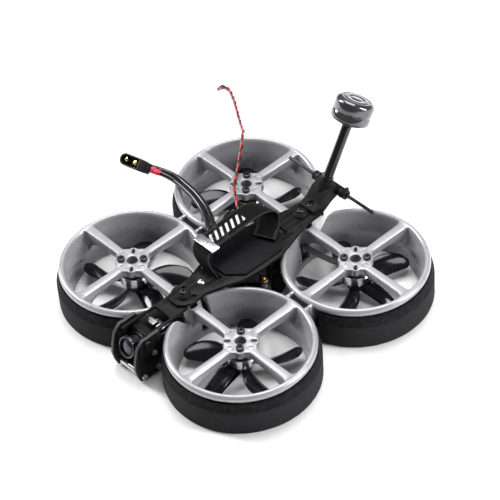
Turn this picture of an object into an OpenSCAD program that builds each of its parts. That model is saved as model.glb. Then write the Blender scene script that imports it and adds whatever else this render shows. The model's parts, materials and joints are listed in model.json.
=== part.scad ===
// FPV racing drone with four ducted pusher propellers (cinewhoop), millimetres.
// Nose points to -Y, the drone's left side to +X. The origin is under the middle of
// the airframe, on the surface that the foam guards and the bottom plate rest on.

/* [Layout] */
// Distance between the left and right motor axes
motor_gap_x = 98.8; // [98.8:0.2:104]
// Distance between the front and rear motor axes
motor_gap_y = 96.4; // [96.4:0.2:102]

/* [Ducts] */
// Height of a duct, from the resting surface to the top of its hub
duct_h = 28.6; // [28:0.1:30]
// Inner radius of a duct at the propeller
throat_r = 39.3; // [39:0.1:40]
// Wall thickness of a duct
duct_wall = 1.4; // [1.2:0.1:1.6]
// Outer radius of the rolled lip
lip_r = 46.4; // [46:0.1:46.8]
// Width of a spoke at the hub
spoke_w_hub = 5; // [4:0.1:6]
// Width of a spoke at the lip
spoke_w_rim = 6.2; // [5:0.1:6.4]

/* [Foam guards] */
// Outer radius of a foam guard
foam_r = 48.6; // [48:0.1:49]
// Height of a foam guard
foam_h = 23.4; // [20:0.1:23.6]

/* [Motors and propellers] */
// Diameter of a propeller
prop_d = 75.8; // [70:0.1:76.2]
// Number of blades on a propeller
blades = 5; // [3:1:6]
// Diameter of a motor bell
bell_d = 18.6; // [18:0.1:19]
// Diameter of a motor shaft
shaft_d = 3; // [2:0.1:3]
// Radial clearance of a running shaft in its bore
running_gap = 0.05; // [0.02:0.01:0.08]

/* [Plates] */
// Thickness of a carbon plate
plate_t = 2; // [1.8:0.1:2.2]
// Height of the underside of the top plate
top_plate_z = 31; // [30.5:0.1:32]
// Diameter of a standoff
post_d = 5; // [4.5:0.1:5.2]

/* [Camera] */
// Upward tilt of the camera at rest, in degrees
camera_tilt = 19.5; // [10:0.5:25]
// Width of the camera body
camera_w = 18.2; // [17:0.1:18.3]
// Outer diameter of the lens barrel
lens_d = 13.7; // [12:0.1:14]

/* [Antennas] */
// Rearward lean of the video antenna from vertical, in degrees
antenna_lean = 30; // [25:1:35]
// Diameter of the video antenna cap
cap_d = 25.3; // [24:0.1:26]
// Height of the video antenna cap
cap_h = 15.5; // [14:0.1:16]

/* [Hidden] */
$fn = 64;

mx = motor_gap_x / 2;
my = motor_gap_y / 2;
top_z = top_plate_z + plate_t;
wall_r = throat_r + duct_wall;
hub_z = 23.6;             // underside of a hub
base_z = 21.6;            // underside of a motor base
bell_top = 19.6;
bell_bottom = 11.9;
prop_low = 5.5;
screw_r = 1;              // M2 shank
motor_hole = 5;           // offset of a motor screw from the axis, along X and along Y
post_y = [-49.2, -34.7, 49.2];
stack_r = 18.03;          // stack bolts sit on this circle, on the X and Y axes
pivot = [0, -84.6, 18.6];
side_x = 9.5;             // inner face of a camera plate
side_t = 2;
antenna_foot = [0, 72, 45];
bar_y = 76;
bar_z = 40.1;
corners = [[1, -1], [-1, -1], [1, 1], [-1, 1]];
blade_phase = [12, 20, 7, 40];
spacer_at = [[-94.2, 4.6], [-82.6, 5.2]]; // Y and Z of the two camera spacers
tail_screw_y = 57.5;

// Battery leads: straight out under the top plate, over the lip and the spoke of the
// rear right duct, then curling forward and up to the plug.
lead_route = [[-11.6, -8.1, 27.1], [-17, -6, 28.4], [-24, -2, 29.9], [-33, 3.5, 30.6], [-42, 9, 30.4],
    [-52, 13.5, 30.3], [-63, 16.5, 30.4], [-74, 18, 30.5], [-84, 18.4, 30.8],
    [-92.3, 16.6, 31.6], [-97.6, 13, 33.4], [-99.9, 8.8, 36.4], [-100.2, 5.2, 40]];
plug_dir = [0.07, -0.64, 0.765];
plug_side = [-0.98, -0.19, -0.07]; // from one pin of the plug to the other
lead_d = 3.4;
pin_at = 3.6;              // offset of a pin from the middle of the plug

// Auxiliary power pair: over the hub and the far lip of the rear right duct, down to the
// surface behind it.
pair_route = [[-9, 13, 27], [-12.6, 14.8, 29.2], [-17, 17, 29.8], [-27, 23, 30.2],
    [-38, 30, 30.2], [-47, 36, 29.9], [-54, 42, 29.8], [-60, 50, 29.8], [-66, 57, 29.9],
    [-73, 65, 30], [-80, 73, 30.2], [-84, 77, 29.9], [-88.5, 82, 27.6], [-93, 86, 23],
    [-100, 91, 15.8], [-109, 98, 8.6], [-118, 104.5, 3.6], [-128, 111, 1.6],
    [-138, 117.5, 1.2], [-146, 122, 1.2], [-152, 124.5, 1.2], [-157, 124, 1.2],
    [-158, 119.5, 1.2]];
pair_d = 2.2;

// ---- helpers ----

// Ring of points round a route point, square to the route there.
function unit(v) = v / norm(v);
function heading(p, i) = unit(p[min(i + 1, len(p) - 1)] - p[max(i - 1, 0)]);
function side_of(d) = unit(cross(d, abs(d[2]) > 0.9 ? [1, 0, 0] : [0, 0, 1]));
function ring(c, d, r, n) = [for (k = [0:n - 1])
    c + r * (cos(360 * k / n) * side_of(d) + sin(360 * k / n) * cross(side_of(d), d))];
function flat(v) = [for (a = v) each a];

// Direction from one battery lead to the other at route point k: level along the route,
// in line with the pins at the plug.
function side_at(k) = let (f = max(0, (k - 8) / 4))
    unit((1 - f) * unit(cross(heading(lead_route, k), [0, 0, 1])) + f * unit(plug_side));

// Offset of a lead from the route; the last stretch spreads to the pins of the plug.
function lead_offset(k) = lead_d / 2 + 0.05
    + (pin_at - lead_d / 2 - 0.05) * pow(max(0, (k - 9) / 3), 1.5);

// Skin a list of rings that all have n points.
module skin(rings, n) {
    m = len(rings);
    faces = concat(
        [[for (k = [n - 1:-1:0]) k]],
        [for (i = [0:m - 2], k = [0:n - 1], up = [false, true]) let (
            a = i * n + k, b = i * n + (k + 1) % n)
            up ? [a, b + n, a + n] : [a, b, b + n]],
        [[for (k = [0:n - 1]) (m - 1) * n + k]]);
    polyhedron(points = flat(rings), faces = faces, convexity = 8);
}

// Tube of diameter d along route p.
module tube(p, d, n = 8) {
    skin([for (i = [0:len(p) - 1]) ring(p[i], heading(p, i), d / 2, n)], n);
}

// Flat band: each station is [centre, half-width vector, half-thickness vector].
module band(s) {
    skin([for (q = s) [q[0] - q[1] - q[2], q[0] + q[1] - q[2],
        q[0] + q[1] + q[2], q[0] - q[1] + q[2]]], 4);
}

// Put a child at one motor axis: +x points outward and -y to the neighbour on that side.
module at_corner(i) {
    c = corners[i];
    translate([c[0] * mx, c[1] * my, 0])
        mirror([c[0] < 0 ? 1 : 0, 0, 0])
            mirror([0, c[1] < 0 ? 1 : 0, 0])
                children();
}

// Cap screw hanging down from its head, which sits on z = 0.
module cap_screw(length, head_d = 4.4, head_h = 2) {
    difference() {
        union() {
            cylinder(d = head_d, h = head_h);
            translate([0, 0, -length]) cylinder(r = screw_r, h = length + 0.1);
        }
        translate([0, 0, head_h - 1.2]) cylinder(d = 1.8, h = 2, $fn = 6);
    }
}

// ---- ducts ----

// Half section of the wall and rolled lip.
module duct_section() {
    lip_c = [lip_r - 2.6, duct_h - 2.6];
    polygon(concat(
        [[throat_r, 0.6], [wall_r, 0.6], [wall_r, 13], [wall_r + 1.2, 18], [lip_r - 2.2, 23.4]],
        [for (a = [-30:15:105]) lip_c + 2.6 * [cos(a), sin(a)]],
        [[lip_r - 4.1, duct_h - 1.2], [throat_r + 2.6, duct_h - 4.5],
            [throat_r + 1.3, duct_h - 9], [throat_r + 0.5, duct_h - 13]]));
}

// Spoke from the hub out to reach, flat on top and arched below.
module spoke(angle, reach) {
    rotate([0, 0, angle])
        intersection() {
            translate([0, 5, 0]) rotate([90, 0, 0])
                linear_extrude(10)
                    polygon([[7, duct_h - 0.3], [reach, duct_h - 0.3], [reach, duct_h - 3.6],
                        [throat_r + 0.9, duct_h - 9], [throat_r + 0.9, 11], [throat_r - 1, 15],
                        [36, 18.4], [31, 21], [25, 22.4], [7, 22.8]]);
            linear_extrude(duct_h)
                polygon([[6, -spoke_w_hub / 2], [44, -spoke_w_rim / 2],
                    [44, spoke_w_rim / 2], [6, spoke_w_hub / 2]]);
        }
}

module hub() {
    difference() {
        union() {
            translate([0, 0, hub_z]) linear_extrude(duct_h - hub_z)
                polygon([for (a = [0:90:270], s = [-1, 1])
                    [11.4 * cos(a) - 2.6 * s * sin(a), 11.4 * sin(a) + 2.6 * s * cos(a)]]);
            for (x = [-1, 1], y = [-1, 1])
                translate([5.4 * x, 5.4 * y, hub_z]) cylinder(r = 3.3, h = duct_h - hub_z);
        }
        translate([0, 0, hub_z - 1]) cylinder(r = 3.5, h = 7);
        for (s = [-1, 1]) {
            translate([s * motor_hole, s * motor_hole, hub_z - 1]) cylinder(r = 1.1, h = 7);
            rotate([0, 0, -45]) translate([s * 8, 0, hub_z - 1]) linear_extrude(7)
                union() {
                    for (t = [-1, 1]) translate([1.1 * t, 0]) circle(r = 1.1);
                    square([2.2, 2.2], center = true);
                }
        }
        for (a = [0:90:270])
            rotate([0, 0, a]) translate([8.7, 0, duct_h - 0.5]) cylinder(r = 1.8, h = 1);
    }
}

module duct() {
    block_in = mx - 0.25;
    color([0.78, 0.78, 0.8]) difference() {
        union() {
            difference() {
                rotate_extrude($fn = 120) duct_section();
                // room for the middle of the airframe, and a notch for the motor leads
                translate([-mx - 10, -30, -1]) cube([14.5, 60, 40]);
                translate([-mx - 10, 3, -1]) cube([19.5, 40, 40]);
                translate([-mx, -10.2, 5]) cube([16, 7.2, 40]);
            }
            spoke(0, lip_r - 3);
            spoke(90, lip_r - 3);
            spoke(-90, lip_r - 3);
            spoke(180, lip_r - 6);
            // root block between the two plates
            translate([-block_in, -3.5, plate_t]) cube([block_in - 39.8, 7, duct_h - 0.3 - plate_t]);
            translate([-block_in, -3.5, duct_h - 1]) cube([6.5, 7, top_plate_z - duct_h + 1]);
            hub();
            // half bridges to the neighbouring duct
            for (x = [-8, 8]) translate([x - 1, -my + 0.1, 0]) {
                translate([0, 0, 7]) cube([2, my - wall_r + 1, 8.5]);
                translate([0, 0, 15.4]) cube([2, my - 40.2, 4.6]);
                translate([0, 0, 19.9]) cube([2, my - 42.4, duct_h - 21.3]);
            }
        }
        translate([-mx, post_y[2] - my, 0]) cylinder(d = post_d + 0.2, h = 40);
        // seat of the motor base, and a window for cables through the root block
        translate([0, 0, 15]) cylinder(r = 8.6, h = hub_z - 15);
        translate([-mx + 2.9, -5, 17.2]) cube([4.4, 10, 3.2]);
    }
}

// ---- foam guards ----

module foam_guard() {
    color([0.13, 0.13, 0.14]) rotate([0, 0, -73]) rotate_extrude(angle = 209, $fn = 120)
        polygon([[wall_r + 0.1, 0], [foam_r - 0.5, 0], [foam_r, 0.5], [foam_r, 16.8],
            [lip_r + 0.4, foam_h], [lip_r - 2.05, foam_h], [wall_r + 1.35, 18],
            [wall_r + 0.1, 12.8]]);
}

module bridge_pads() {
    color([0.08, 0.08, 0.09]) for (s = [-1, 1]) translate([s * mx - 6.6, 0, 0]) {
        translate([0, -7.2, 1]) cube([13.2, 14.4, 11.8]);
        translate([0, -1.4, 12]) cube([13.2, 2.8, 14]);
    }
}

// ---- motors and propellers ----

module motor_base() {
    color([0.62, 0.63, 0.66]) difference() {
        union() {
            translate([0, 0, base_z]) cylinder(d = 17, h = hub_z - base_z);
            translate([0, 0, 13.8]) cylinder(d = 6, h = base_z - 13.7);
            // stator core
            translate([0, 0, 14.6]) cylinder(d = 9, h = 5.6);
        }
        translate([0, 0, 12]) cylinder(r = shaft_d / 2 + running_gap, h = 14);
        for (s = [-1, 1])
            translate([s * motor_hole, s * motor_hole, 20]) cylinder(r = screw_r + 0.05, h = 5);
    }
}

module motor_windings() {
    color([0.72, 0.4, 0.2]) for (i = [0:3]) at_corner(i)
        difference() {
            union() {
                translate([0, 0, 14.6]) cylinder(d = 9.6, h = 6.6);
                for (a = [0:40:320]) rotate([0, 0, a])
                    translate([4.4, -1.1, 14.2]) cube([3.3, 2.2, 7.2]);
            }
            translate([0, 0, 12]) cylinder(d = 9.02, h = 12);
        }
}

module motor_bell(i) {
    color([0.82, 0.82, 0.84]) at_corner(i) {
        difference() {
            translate([0, 0, bell_bottom]) cylinder(d = bell_d, h = bell_top - bell_bottom);
            translate([0, 0, bell_bottom + 1.5]) cylinder(d = 16.2, h = 10);
            for (a = [0:60:300]) rotate([0, 0, a])
                translate([5.6, 0, bell_bottom - 1]) cylinder(d = 2.6, h = 4);
            for (s = [-1, 1])
                translate([2.5 * s, 0, bell_bottom - 1]) cylinder(r = 0.8, h = 3);
        }
        translate([0, 0, bell_bottom]) cylinder(d = shaft_d, h = 11.6);
    }
}

// Corner points of a blade section at radius r: chord c, pitch p, lead l along the arc.
function blade_ring(r, c, p, l, t) = [for (q = [[-1, -1], [1, -1], [1, 1], [-1, 1]])
    [r, l + q[0] * c / 2 * cos(p) + q[1] * t / 2 * sin(p),
        8 + q[0] * c / 2 * sin(p) - q[1] * t / 2 * cos(p)]];

module propeller(i) {
    tip = prop_d / 2;
    stations = [for (k = [0:6]) let (f = k / 6) blade_ring(
        4.8 + (tip - 0.4 - 4.8) * f,
        5 + 9.5 * sin(180 * min(f * 0.72 + 0.08, 0.9)) * (k == 6 ? 0.72 : 1),
        38 - 22 * f, 3.2 * sin(180 * f) - 2.2 * f * f, 1.4 - 0.6 * f)];
    color([0.06, 0.06, 0.07]) at_corner(i) rotate([0, 0, blade_phase[i]])
        difference() {
            union() {
                translate([0, 0, prop_low]) cylinder(d = 12.6, h = bell_bottom - prop_low);
                for (a = [0:blades - 1]) rotate([0, 0, a * 360 / blades]) skin(stations, 4);
            }
            translate([0, 0, prop_low + 2]) rotate([0, 0, -blade_phase[i]])
                for (s = [-1, 1]) translate([2.5 * s, 0, -5]) cylinder(r = 0.8, h = 12);
            translate([0, 0, prop_low - 1]) cylinder(d = 1.5, h = 12);
        }
}

module prop_screws(i) {
    color([0.2, 0.2, 0.22]) at_corner(i) for (s = [-1, 1])
        translate([2.5 * s, 0, 0]) {
            translate([0, 0, prop_low - 1.4]) cylinder(d = 3, h = 1.4);
            translate([0, 0, prop_low - 0.1]) cylinder(r = 0.8, h = bell_bottom - prop_low + 1.2);
        }
}

module motor_screws() {
    color([0.1, 0.1, 0.11]) for (i = [0:3]) at_corner(i) for (s = [-1, 1])
        translate([s * motor_hole, s * motor_hole, duct_h]) cap_screw(duct_h - base_z - 0.3);
}

// Flat three-wire motor lead from the base, along the inner spoke, through the notch.
module motor_leads() {
    s = [[-8.9, -3.6, 21.7], [-13, -5.6, 21], [-20, -6.4, 20], [-30, -6.6, 18.4],
        [-38, -6.6, 17.6], [-41.5, -6.6, 16.6]];
    color([0.07, 0.07, 0.08]) for (i = [0:3]) at_corner(i)
        band([for (k = [0:len(s) - 1]) let (d = heading(s, k))
            [s[k], 2.3 * unit(cross(d, [0, 0, 1])), [0, 0, 0.65]]]);
}

// ---- plates ----

function both_sides(p) = concat(p, [for (k = [len(p) - 1:-1:0]) [-p[k][0], p[k][1]]]);

module top_plate() {
    color([0.12, 0.12, 0.13]) difference() {
        translate([0, 0, top_plate_z]) linear_extrude(plate_t) difference() {
            polygon(both_sides([[3.5, -57.5], [6.8, -54.5], [8.9, -50], [8.4, -38], [13, -24],
                [16.6, -15], [18.2, 0], [17.2, 16], [14.6, 27], [11, 38], [9, 48], [8.6, 60],
                [6, 62]]));
            // strap slots
            translate([-11.5, -26]) square([17, 3.4]);
            translate([-11.5, 29]) square([17, 3.4]);
        }
        for (y = post_y) translate([0, y, 0]) cylinder(r = screw_r + 0.1, h = 40);
        translate([0, tail_screw_y, 0]) cylinder(r = screw_r + 0.1, h = 40);
        for (x = [-5, 5]) translate([x, -45, 0]) cylinder(r = 1.3, h = 40);
    }
}

module bottom_plate() {
    color([0.12, 0.12, 0.13]) difference() {
        linear_extrude(plate_t) polygon(both_sides([[9.4, -91], [9.4, -77], [8.3, -70],
            [8.3, -36], [11.5, -26], [21.5, -4], [21.5, 4], [11.5, 26], [8.3, 36], [8.3, 56],
            [6, 60]]));
        for (y = post_y) translate([0, y, -1]) cylinder(r = screw_r + 0.1, h = 5);
        for (a = [0:90:270]) rotate([0, 0, a])
            translate([stack_r, 0, -1]) cylinder(r = screw_r + 0.1, h = 5);
        for (x = [-1, 1], y = [-1, 1])
            translate([4 * x, 26 * y, -1]) cylinder(r = 1.6, h = 5);
    }
}

module battery_pad() {
    color([0.2, 0.2, 0.21]) translate([0, 0, top_z]) linear_extrude(1.4)
        polygon(both_sides([[6, -20.5], [15, -11.5], [15, 19], [7.5, 26.5]]));
}

module standoffs() {
    color([0.3, 0.3, 0.32]) for (y = post_y) translate([0, y, plate_t])
        difference() {
            cylinder(d = post_d, h = top_plate_z - plate_t);
            translate([0, 0, -1]) cylinder(r = screw_r, h = 7);
            translate([0, 0, top_plate_z - plate_t - 6]) cylinder(r = screw_r, h = 7);
        }
}

// Tall bosses under the front and rear screws of the top plate.
module boss_washers() {
    color([0.15, 0.15, 0.16]) for (y = [post_y[0], post_y[2]]) translate([0, y, top_z])
        difference() {
            union() {
                cylinder(d = 9.6, h = 0.8);
                translate([0, 0, 0.8]) cylinder(d1 = 9.6, d2 = 7, h = 1.6);
            }
            translate([0, 0, -1]) cylinder(r = screw_r + 0.1, h = 5);
        }
}

module plate_screws() {
    color([0.25, 0.25, 0.27]) {
        for (y = [post_y[0], post_y[2]]) translate([0, y, top_z + 2.4]) cap_screw(9, 4.6, 1.5);
        translate([0, post_y[1], top_z]) cap_screw(6.5, 4.6, 1.6);
        for (y = post_y) translate([0, y, 0.05]) cylinder(r = screw_r, h = 7);
        // screw and nut of the antenna mount
        translate([0, tail_screw_y, top_z + 1.6]) cap_screw(6, 4.6, 1.5);
        translate([0, tail_screw_y, top_plate_z - 1.7]) cylinder(d = 4.6, h = 1.6, $fn = 6);
    }
}

// ---- electronics ----

module board(z, t) {
    translate([0, 0, z]) difference() {
        rotate([0, 0, 45]) cube([33, 33, t], center = true);
        for (a = [0:90:270]) rotate([0, 0, a])
            translate([stack_r, 0, -3]) cylinder(r = 1.8, h = 6);
    }
}

module speed_controller() {
    color([0.05, 0.12, 0.08]) {
        board(8.8, 1.6);
        for (x = [-1, 1], y = [-1, 1], s = [-2.6, 2.6])
            translate([6.6 * x + s * x, 6.6 * y - s * y, 9.5]) cylinder(d = 4.4, h = 1.4);
    }
}

module flight_controller() {
    color([0.06, 0.06, 0.08]) {
        board(15.8, 1.6);
        translate([-4, -4, 16.5]) cube([8, 8, 1.2]);
        rotate([0, 0, 45]) translate([11.2, -4.6, 16.5]) cube([5.2, 9.2, 3.2]);
    }
}

module video_transmitter() {
    color([0.3, 0.31, 0.33]) {
        difference() {
            translate([0, 0, 22.4]) rotate([0, 0, 45]) cube([27, 27, 3.6], center = true);
            for (a = [0:90:270]) rotate([0, 0, a])
                translate([stack_r, 0, 18]) cylinder(d = 6, h = 8);
        }
        for (k = [-4:4]) rotate([0, 0, 45])
            translate([2.6 * k - 0.6, -10, 24.1]) cube([1.2, 20, 2.2]);
        for (a = [0:90:270]) rotate([0, 0, a]) translate([stack_r, 0, 0]) difference() {
            union() {
                translate([0, 0, 21.4]) cylinder(d = 5.4, h = 1.6);
                translate([-3.4, -1.4, 21.4]) cube([1.4, 2.8, 1.6]);
            }
            translate([0, 0, 20]) cylinder(r = screw_r + 0.1, h = 5);
        }
    }
}

module stack_bolts() {
    color([0.75, 0.62, 0.3]) for (a = [0:90:270]) rotate([0, 0, a])
        translate([stack_r, 0, 0]) {
            translate([0, 0, 0.05]) cylinder(r = screw_r, h = 25);
            translate([0, 0, 2]) cylinder(d = 4, h = 4);
            translate([0, 0, 23]) cylinder(d = 4.4, h = 1.6);
        }
}

// Soft grommets that carry the boards on the bolts.
module stack_grommets() {
    color([0.5, 0.5, 0.52]) for (a = [0:90:270], z = [6, 13]) rotate([0, 0, a])
        translate([stack_r, 0, z]) difference() {
            union() {
                cylinder(d = 4.6, h = 2);
                cylinder(d = 3.5, h = 5.4);
                translate([0, 0, 3.6]) cylinder(d = 4.6, h = 2.2);
            }
            translate([0, 0, -1]) cylinder(r = screw_r + 0.02, h = 9);
        }
    color([0.5, 0.5, 0.52]) for (a = [0:90:270]) rotate([0, 0, a])
        translate([stack_r, 0, 18.8]) difference() {
            cylinder(d = 4.4, h = 2.6);
            translate([0, 0, -1]) cylinder(r = screw_r + 0.02, h = 9);
        }
}

module capacitor() {
    color([0.1, 0.1, 0.25]) translate([6.5, -33.3, 8]) rotate([-90, 0, 0]) {
        cylinder(d = 8, h = 9.4);
        for (x = [-1.8, 1.8]) translate([x, 0, 9.3]) cylinder(d = 0.8, h = 1.6);
    }
}

// ---- camera ----

// U-shaped bracket under the nose of the top plate, with tabs through the camera plates.
module nose_bracket() {
    color([0.1, 0.1, 0.11]) translate([0, 0, top_plate_z - plate_t]) linear_extrude(plate_t)
        difference() {
            polygon(both_sides([[9.45, -92], [9.45, -91], [13.8, -90.6], [13.8, -87.4], [9.45, -87],
                [9.45, -77], [8.2, -72], [8.2, -52.8]]));
            translate([-7.1, -95]) square([14.2, 29]);
            translate([0, post_y[0]]) circle(d = 6);
        }
}

module camera_plate(s) {
    color([0.3, 0.31, 0.33]) mirror([s < 0 ? 1 : 0, 0, 0]) difference() {
        translate([side_x, 0, 0]) rotate([90, 0, 90]) linear_extrude(side_t)
            polygon([[-77, 26], [-79, 32.6], [-85.6, 32.9], [-87, 32.4], [-91, 32.9], [-94, 31],
                [-96.5, 28], [-98.6, 20.5], [-99.6, 13], [-98.4, 6.6], [-96.6, 1.4], [-93, 0.6],
                [-81, 0.6], [-77.6, 4.5], [-76.8, 12]]);
        translate([0, pivot[1], pivot[2]]) rotate([0, 90, 0])
            cylinder(r = screw_r + running_gap, h = 20);
        for (p = spacer_at) translate([0, p[0], p[1]]) rotate([0, 90, 0])
            cylinder(r = screw_r + 0.05, h = 20);
        translate([0, -91, top_plate_z - plate_t - 0.05]) cube([20, 4, plate_t + 0.1]);
    }
}
module camera_spacers() {
    color([0.35, 0.35, 0.38]) for (p = spacer_at) translate([-side_x, p[0], p[1]])
        rotate([0, 90, 0]) difference() {
            cylinder(d = 4.4, h = 2 * side_x);
            translate([0, 0, -1]) cylinder(r = screw_r, h = 6);
            translate([0, 0, 2 * side_x - 5]) cylinder(r = screw_r, h = 6);
        }
}

module camera_plate_screws() {
    color([0.7, 0.7, 0.72]) for (p = spacer_at, s = [-1, 1])
        translate([s * (side_x + side_t), p[0], p[1]]) rotate([0, s * 90, 0])
            cap_screw(6, 3.8, 1.4);
}

// Put a child in the camera's own frame: +z along the lens axis, +y up the back.
module at_camera() {
    translate(pivot) rotate([90 - camera_tilt, 0, 0]) children();
}

module camera_body() {
    color([0.1, 0.1, 0.11]) at_camera() difference() {
        union() {
            translate([-camera_w / 2, -8.6, -4.4]) cube([camera_w, 17.2, 7]);
            translate([0, 0, 2]) cylinder(d = 15.2, h = 2.4);
            // plug socket and sensor board on the back
            translate([-7.5, -7.5, -5.6]) cube([15, 15, 1.4]);
        }
        translate([-20, 0, 0]) rotate([0, 90, 0]) cylinder(r = screw_r, h = 40);
    }
}

module camera_lens_barrel() {
    color([0.55, 0.56, 0.58]) at_camera() difference() {
        union() {
            translate([0, 0, 4.4]) cylinder(d = 12, h = 5);
            translate([0, 0, 9]) cylinder(d = lens_d, h = 3.5);
        }
        translate([0, 0, 9.6]) cylinder(d = 11.6, h = 4);
    }
}

module camera_lens_glass() {
    color([0.1, 0.2, 0.35]) at_camera() translate([0, 0, 9.6]) intersection() {
        cylinder(d = 11.56, h = 3);
        translate([0, 0, -8.6]) sphere(r = 11.2);
    }
}

module camera_pivot_screws() {
    color([0.7, 0.7, 0.72]) for (s = [-1, 1])
        translate([s * (side_x + side_t + 0.1), pivot[1], pivot[2]]) rotate([0, s * 90, 0])
            cap_screw(6, 3.8, 1.4);
}

// Flat ribbon from behind the camera to the video transmitter.
module camera_cable() {
    s = [[0, -74.5, 20], [0, -70, 19.4], [0, -62, 18.7], [1.8, -57, 18.6], [4.6, -52.4, 18.7],
        [5, -48.2, 18.8], [5, -44, 19], [4.7, -38, 20], [4, -33, 21], [1.5, -26, 22.2],
        [0, -20.8, 22.6]];
    color([0.08, 0.08, 0.09]) band([for (k = [0:len(s) - 1]) [s[k], [1.1, 0, 0], [0, 0, 0.4]]]);
}

// ---- strap ----

// Strap: up through the front slot, over the buckle, back along the right side, then a
// loop down and forward again towards the left.
module battery_strap() {
    w = 7.4;
    t = 0.6;
    x = [w, 0, 0];
    color([0.08, 0.08, 0.09]) band([
        [[-3, 6, 29.9], x, [0, 0, t]], [[-3, -20, 29.8], x, [0, 0.2, t]],
        [[-3, -24, 30.6], x, [0, t, t * 0.7]], [[-3.2, -24.6, 33], x, [0, t, 0.1]],
        [[-6, -26, 38], x, [0, t, 0.1]], [[-10, -25, 42], x, [0, t, -0.4]],
        [[-12.8, -21, 44.4], x, [0, 0.3, -t]], [[-13.2, -15, 45.3], x, [0, 0.05, -t]],
        [[-13.4, 0, 46.2], x, [0, 0, -t]], [[-13.2, 14, 47.2], x, [0, 0, -t]],
        [[-12.4, 23, 47.4], [w * 0.99, w * 0.1, 0], [0, -0.1, -t]],
        [[-11, 29, 45.6], [w * 0.97, w * 0.2, 0], [0, -0.4, -0.45]],
        [[-9.4, 31.2, 42], [w * 0.96, w * 0.27, 0], [0, -t, 0]],
        [[-7, 29.4, 38.4], [w * 0.95, w * 0.31, 0], [0, -0.4, 0.45]],
        [[-3.2, 24, 36.6], [w * 0.93, w * 0.36, 0], [0, -0.2, t]],
        [[1.2, 17, 35.9], [w * 0.9, w * 0.43, 0], [0, 0, t]]]);
}

module strap_buckle() {
    color([0.75, 0.76, 0.78]) translate([-13.1, -17.6, 45]) difference() {
        translate([-8.9, -3.4, -1.6]) cube([17.8, 6.8, 3.2]);
        translate([-7.7, -5, -0.95]) cube([15.4, 10, 1.9]);
    }
}

// ---- tail ----

// Printed flexible mount for both antennas.
module antenna_mount() {
    a = [0, sin(antenna_lean), cos(antenna_lean)];
    color([0.11, 0.11, 0.12]) difference() {
        union() {
            translate([-6.6, 0, 0]) rotate([90, 0, 90]) linear_extrude(13.2)
                polygon([[54.2, top_z], [54.2, top_z + 2.4], [60, top_z + 4], [66, 43], [72, 46],
                    [77, 42.4], [76.5, 36.6], [70, 34.4], [64, 30.6], [62.3, 30.6],
                    [62.3, top_z]]);
            translate([-14, bar_y, bar_z]) rotate([0, 90, 0]) cylinder(r = 3.2, h = 28);
            translate(antenna_foot) rotate([-antenna_lean, 0, 0])
                translate([0, 0, -6]) cylinder(r = 5, h = 7.4);
        }
        translate([-20, bar_y, bar_z]) rotate([0, 90, 0]) cylinder(r = 1.3, h = 40);
        translate(antenna_foot) rotate([-antenna_lean, 0, 0])
            translate([0, 0, -4]) cylinder(d = 6.6, h = 12);
        translate([0, tail_screw_y, 20]) cylinder(r = screw_r + 0.1, h = 30);
        translate([0, tail_screw_y, top_z + 1.6]) cylinder(d = 5, h = 10);
        for (x = [-10.4, 10.4]) translate([x, bar_y, bar_z]) rotate([0, 90, 0])
            difference() {
                cylinder(r = 4, h = 1.8, center = true);
                cylinder(r = 2.7, h = 3, center = true);
            }
    }
}

module video_antenna_stalk() {
    color([0.05, 0.05, 0.06]) translate(antenna_foot) rotate([-antenna_lean, 0, 0]) {
        translate([0, 0, -4]) cylinder(d = 6.5, h = 44);
        translate([0, 0, 39]) cylinder(d = 9, h = 3.6);
    }
}

module video_antenna_cap() {
    h = cap_h;
    r = cap_d / 2;
    color([0.16, 0.16, 0.17]) translate(antenna_foot) rotate([-antenna_lean, 0, 0])
        translate([0, 0, 42.6]) rotate_extrude($fn = 96)
            polygon(concat([[0, 0]],
                [for (a = [-90:15:0]) [r - 3 + 3 * cos(a), 3 + 3 * sin(a)]],
                [for (a = [0:15:90]) [r - 3.4 + 3.4 * cos(a), h - 3.4 + 3.4 * sin(a)]],
                [[0, h]]));
}

module receiver_antenna() {
    color([0.12, 0.12, 0.13]) translate([-37.5, bar_y, bar_z]) rotate([0, 90, 0])
        cylinder(r = 1.25, h = 75);
}

module zip_ties() {
    color([0.05, 0.05, 0.06]) for (x = [-10.4, 10.4]) translate([x, bar_y, bar_z]) {
        rotate([0, 90, 0]) difference() {
            cylinder(r = 3.4, h = 1.7, center = true);
            cylinder(r = 2.75, h = 3, center = true);
        }
        translate([-0.85, 3.1, -1.2]) cube([1.7, 1.8, 2.4]);
        translate([-0.5, 4.8, -9]) cube([1, 0.6, 9]);
    }
}

// ---- cords ----

module battery_leads() {
    color([0.06, 0.06, 0.07]) for (s = [-1, 1]) {
        n = len(lead_route) - 1;
        tube([for (k = [0:n]) lead_route[k] + s * lead_offset(k) * side_at(k)], lead_d);
    }
}

module battery_plug() {
    d = unit(plug_dir);
    l = unit(unit(plug_side) - (unit(plug_side) * d) * d);
    t = cross(d, l);
    c = lead_route[len(lead_route) - 1];
    m = [[l[0], t[0], d[0], c[0]], [l[1], t[1], d[1], c[1]], [l[2], t[2], d[2], c[2]],
        [0, 0, 0, 1]];
    color([0.1, 0.1, 0.11]) multmatrix(m) difference() {
        translate([-7.8, -4, 0.02]) cube([15.6, 8, 16]);
        translate([-6.8, -3, 7]) cube([13.6, 6, 12]);
    }
    color([0.85, 0.65, 0.25]) multmatrix(m) for (s = [-1, 1])
        translate([pin_at * s, 0, 6.9]) cylinder(d = 3.5, h = 7.6, $fn = 24);
}

module power_pair() {
    color([0.7, 0.1, 0.12]) tube(pair_route, pair_d);
}

// ---- one line for each sub-part ----

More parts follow.
